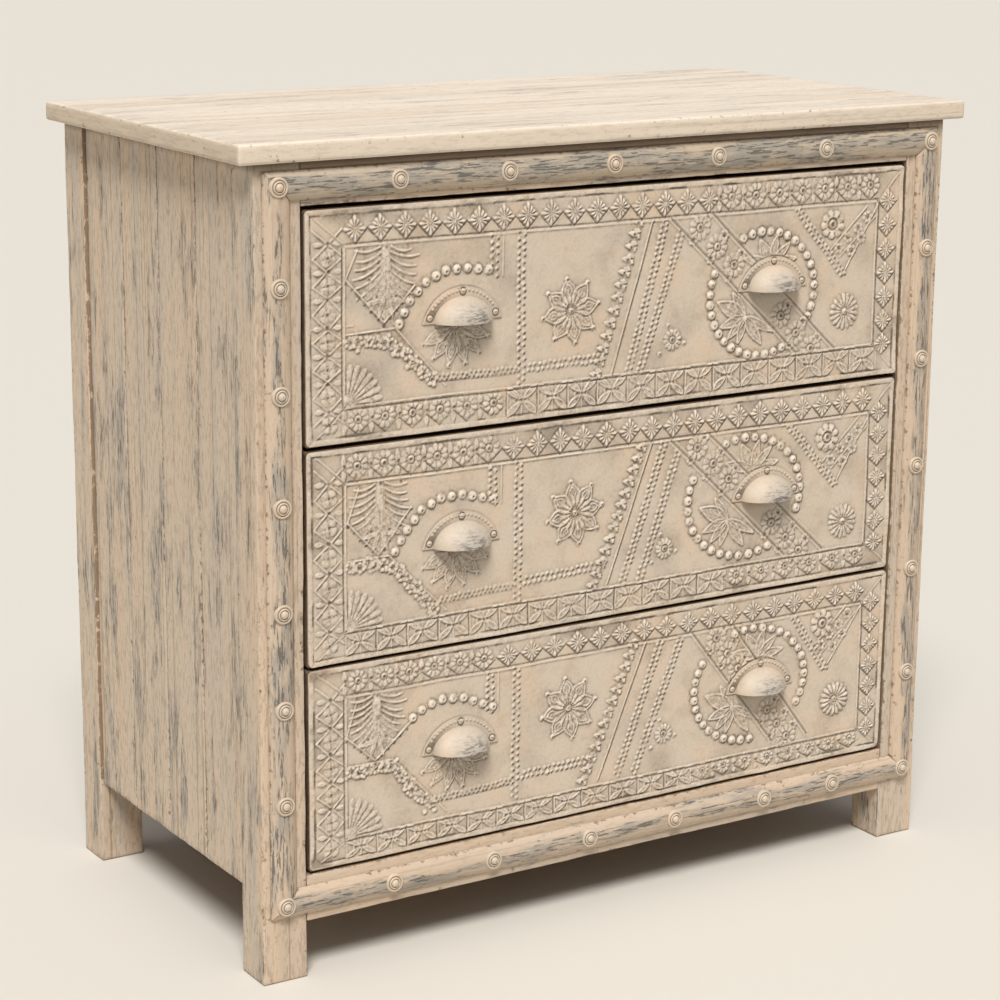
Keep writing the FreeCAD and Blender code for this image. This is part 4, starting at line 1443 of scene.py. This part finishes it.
plate_thickness = 2 * mm
plate_segments = 120
plate_round = 0.6 * mm
cup_half_width = 35.5 * mm
cup_wall = 2 * mm
cup_steps = 18
cup_points = 40
bead_radius = 1.9 * mm
bead_inset = 1.7 * bead_radius    # middles of the beads in from the bowed edge
bead_pitch = 2.5 * bead_radius
bead_flatness = 0.6
bead_end = 9 * mm             # last beads in from the tips of the plate
screw_inset = 8 * mm          # end screws in from the tips of the plate
screw_lift = 6.3 * mm         # end screws above the lower edge
screw_drop = 4.7 * mm         # top screw below the top of the plate
ring_turns = 18
ring_reach = 4.9 * mm         # how far dirt lies around a screw
# The outline of the ring around a screw: out from the screw, and behind the face of the plate
screw_ring = (
    (2.6 * mm, 0.1 * mm),
    (2.6 * mm, -0.2 * mm),
    (4.5 * mm, -0.2 * mm),
    (4.8 * mm, 0.1 * mm),
)
belly_aside = 0.15            # how far to the right of its middle the belly of a cup is scuffed
# How much paler the front of a cup is: rubbed paint and a painted highlight
cup_pale = 0.25


def bowed_plate(bm, bow_middle, bow, base):
    """A plate with a bowed top and a level lower edge, softened at the front."""
    upright = Matrix.Translation(bow_middle) @ Matrix.Rotation(math.pi / 2, 4, "X")
    bmesh.ops.create_circle(bm, cap_ends=True, radius=bow, segments=plate_segments, matrix=upright)
    whole = bm.verts[:] + bm.edges[:] + bm.faces[:]
    bmesh.ops.bisect_plane(bm, geom=whole, plane_co=(0, 0, base), plane_no=(0, 0, 1), clear_inner=True)
    raised = bmesh.ops.extrude_face_region(bm, geom=bm.faces[:])["geom"]
    front_verts = [item for item in raised if isinstance(item, bmesh.types.BMVert)]
    bmesh.ops.translate(bm, vec=(0, -plate_thickness, 0), verts=front_verts)
    at_front = set(front_verts)
    front_edges = [edge for edge in bm.edges if at_front.issuperset(edge.verts)]
    bmesh.ops.bevel(
        bm, geom=front_edges, offset=plate_round, affect="EDGES", segments=2, profile=0.5, material=-1
    )


def bead_row(bm, bow_middle, bow, half):
    """Flat beads along the bowed edge of a plate."""
    bead_bow = bow - bead_inset
    spread = math.asin((half - bead_end) / bow)
    count = int(2 * spread * bead_bow / bead_pitch)
    flat = Matrix.Diagonal((1, bead_flatness, 1, 1))
    for number in range(count + 1):
        angle = -spread + 2 * spread * number / count
        away = Vector((math.sin(angle) * bead_bow, -plate_thickness, math.cos(angle) * bead_bow))
        matrix = Matrix.Translation(bow_middle + away) @ flat
        bmesh.ops.create_uvsphere(bm, u_segments=8, v_segments=6, radius=bead_radius, matrix=matrix)


def screw_rings(bm, middle, screws):
    """A raised ring around each screw."""
    for side, z in screws:
        spot = Vector((middle + side, front_y - plate_thickness, z))
        ring = [bm.verts.new(spot + Vector((out, behind, 0))) for out, behind in screw_ring]
        edges = [bm.edges.new(pair) for pair in zip(ring, ring[1:])]
        bmesh.ops.spin(
            bm, geom=ring + edges, cent=spot, axis=(0, 1, 0), angle=full_turn,
            steps=ring_turns, use_merge=True,
        )


def cup_shell(bm, middle, base, reach):
    """The cup: a quarter of an oval egg that opens downwards, with a wall. What is there already stays."""
    plate_faces = set(bm.faces)
    outline = [
        bm.verts.new((middle - math.cos(angle) * cup_half_width, front_y, base + math.sin(angle) * reach))
        for angle in np.linspace(0, math.pi, cup_points + 1)
    ]
    edges = [bm.edges.new(pair) for pair in zip(outline, outline[1:])]
    bmesh.ops.spin(
        bm, geom=outline + edges, cent=(middle, front_y, base), axis=(1, 0, 0), angle=math.pi / 2,
        steps=cup_steps,
    )
    bmesh.ops.remove_doubles(bm, verts=bm.verts, dist=weld_distance)
    cup_faces = [face for face in bm.faces if face not in plate_faces]
    bmesh.ops.recalc_face_normals(bm, faces=cup_faces)
    bmesh.ops.solidify(bm, geom=cup_faces, thickness=cup_wall)


def mark_pull(mesh, middle, base, reach, screws):
    """Store where a pull holds dirt and painted shade, where its belly is scuffed and where it is pale with a
    painted highlight.
    """
    places = points_of(mesh)
    forward = (front_y - places[:, 1]) / reach
    upward = (places[:, 2] - base) / reach
    sideways = (places[:, 0] - middle) / cup_half_width
    out = np.sqrt(forward ** 2 + upward ** 2 + sideways ** 2)
    inside = (out < 0.965) & (forward > 2 * plate_thickness / reach)
    around = [np.hypot(places[:, 0] - middle - side, places[:, 2] - z) for side, z in screws]
    ringed = (np.min(around, axis=0) < ring_reach) & (forward < 1.3 * plate_thickness / reach)
    # The inside of the cup is dark as painted shade; around the screws it is dirt
    store(mesh, "hollow", np.maximum(inside, ringed) * 1.0)
    belly = np.clip(forward * 2.6 - 0.9, 0, 1) * np.clip(1.2 - 1.3 * upward, 0, 1)
    store(mesh, "belly", belly * np.clip(1.3 - 1.5 * np.abs(sideways - belly_aside), 0, 1) * ~inside)
    store(mesh, "raised", np.clip(forward, 0, 1) * cup_pale * ~inside)


def cup_pull(level, hand):
    """A cast cup on a bow-topped plate with a beaded edge."""
    node = f"{level}_{hand}_pull"
    low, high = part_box(node)
    middle = (low.x + high.x) / 2
    half = (high.x - low.x) / 2
    bow = bow_radius(half, high.z - low.z)
    bow_middle = Vector((middle, front_y, high.z - bow))
    reach = front_y - low.y
    screw_end = half - screw_inset
    screws = ((-screw_end, low.z + screw_lift), (screw_end, low.z + screw_lift), (0, high.z - screw_drop))
    bm = bmesh.new()
    bowed_plate(bm, bow_middle, bow, low.z)
    bead_row(bm, bow_middle, bow, half)
    screw_rings(bm, middle, screws)
    cup_shell(bm, middle, low.z, reach)
    mesh = mesh_from(bm, node + "_cast", math.radians(40))
    mark_pull(mesh, middle, low.z, reach, screws)
    add_piece(mesh, pull_paint, f"{level}_drawer", "limewashed_pull_metal", node)


for level in levels:
    cup_pull(level, "left")
    cup_pull(level, "right")

# Pieces inside and behind


def soften_edges(piece, size):
    """Take the sharp edges off a CAD piece."""
    weld = piece.modifiers.new("weld", "WELD")
    weld.merge_threshold = 0.01 * mm
    bevel = piece.modifiers.new("soft_edges", "BEVEL")
    bevel.width = size
    bevel.segments = 2
    bevel.limit_method = "ANGLE"
    bevel.angle_limit = math.radians(50)


def finish_node(node, material, edge=0.6 * mm):
    """Give a CAD piece that is kept as it is its material and soft edges."""
    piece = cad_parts[node]
    piece.data.materials.clear()
    piece.data.materials.append(material)
    soften_edges(piece, edge)


finish_node("back_panel", planed_upright)
finish_node("left_kicker", planed_deep)
finish_node("right_kicker", planed_deep)
finish_node("drawer_stops", planed_deep)
for level in levels:
    for side in ("left", "right"):
        finish_node(f"{level}_{side}_runner", planed_deep)
        finish_node(f"{level}_drawer_{side}_side", planed_deep)
    finish_node(f"{level}_drawer_back", planed_level)
    finish_node(f"{level}_drawer_bottom", planed_level)
    finish_node(f"{level}_drawer_front", stained_and_shaded_level)
    finish_node(f"{level}_pull_screws", screw_paint, 0.15 * mm)

# Stage, light and camera

floor_size = 80
floor_colour = (0.66, 0.63, 0.575, 1)
sky_colour = (1, 0.985, 0.96, 1)
sky_strength = 0.26
lamp_colour = (1, 0.98, 0.95)
camera_place = Vector((-1.6657, -2.6036, 1.2134))
camera_turn = 0.56454         # from looking along +Y towards +X
camera_tilt = 0.24768         # below the level
camera_roll = 0.00878
camera_lens = 96.85           # in millimetres, like the sensor
camera_sensor = 36
camera_sight = 200            # how far it sees
lamps = (
    # name, strength, spread in degrees and direction towards it
    ("key", 3.3, 20, (-0.33, -0.50, 0.80)),
    ("overhead", 0.5, 60, (-0.10, -0.15, 0.98)),
)


def pale_floor():
    """A plain wide floor under the chest."""
    bm = bmesh.new()
    bmesh.ops.create_grid(bm, x_segments=1, y_segments=1, size=floor_size / 2)
    mesh = mesh_from(bm, "floor")
    material, _, shader = new_material("pale_floor")
    shader.inputs["Base Color"].default_value = floor_colour
    shader.inputs["Roughness"].default_value = 0.9
    mesh.materials.append(material)
    floor = bpy.data.objects.new("floor", mesh)
    bpy.context.scene.collection.objects.link(floor)


def soft_light():
    """An even sky and two broad lamps."""
    world = bpy.data.worlds.new("studio")
    world.use_nodes = True
    sky = world.node_tree.nodes["Background"]
    sky.inputs["Color"].default_value = sky_colour
    sky.inputs["Strength"].default_value = sky_strength
    bpy.context.scene.world = world
    for name, energy, spread, towards_lamp in lamps:
        lamp = bpy.data.lights.new(name, "SUN")
        lamp.energy = energy
        lamp.angle = math.radians(spread)
        lamp.color = lamp_colour
        stand = bpy.data.objects.new(name, lamp)
        stand.rotation_euler = Vector(towards_lamp).to_track_quat("Z", "Y").to_euler()
        bpy.context.scene.collection.objects.link(stand)


def photo_camera():
    """The camera that sees the chest as the photograph does."""
    forward = Vector((
        math.sin(camera_turn) * math.cos(camera_tilt),
        math.cos(camera_turn) * math.cos(camera_tilt),
        -math.sin(camera_tilt),
    ))
    level_right = Vector((math.cos(camera_turn), -math.sin(camera_turn), 0))
    level_up = level_right.cross(forward)
    right = level_right * math.cos(camera_roll) + level_up * math.sin(camera_roll)
    up = level_up * math.cos(camera_roll) - level_right * math.sin(camera_roll)
    data = bpy.data.cameras.new("camera")
    data.lens = camera_lens
    data.sensor_width = camera_sensor
    data.clip_end = camera_sight
    camera = bpy.data.objects.new("camera", data)
    turn = Matrix((right, up, -forward)).transposed()
    camera.matrix_world = Matrix.Translation(camera_place) @ turn.to_4x4()
    bpy.context.scene.collection.objects.link(camera)
    bpy.context.scene.camera = camera


pale_floor()
soft_light()
photo_camera()
bpy.context.scene.view_settings.view_transform = "Standard"
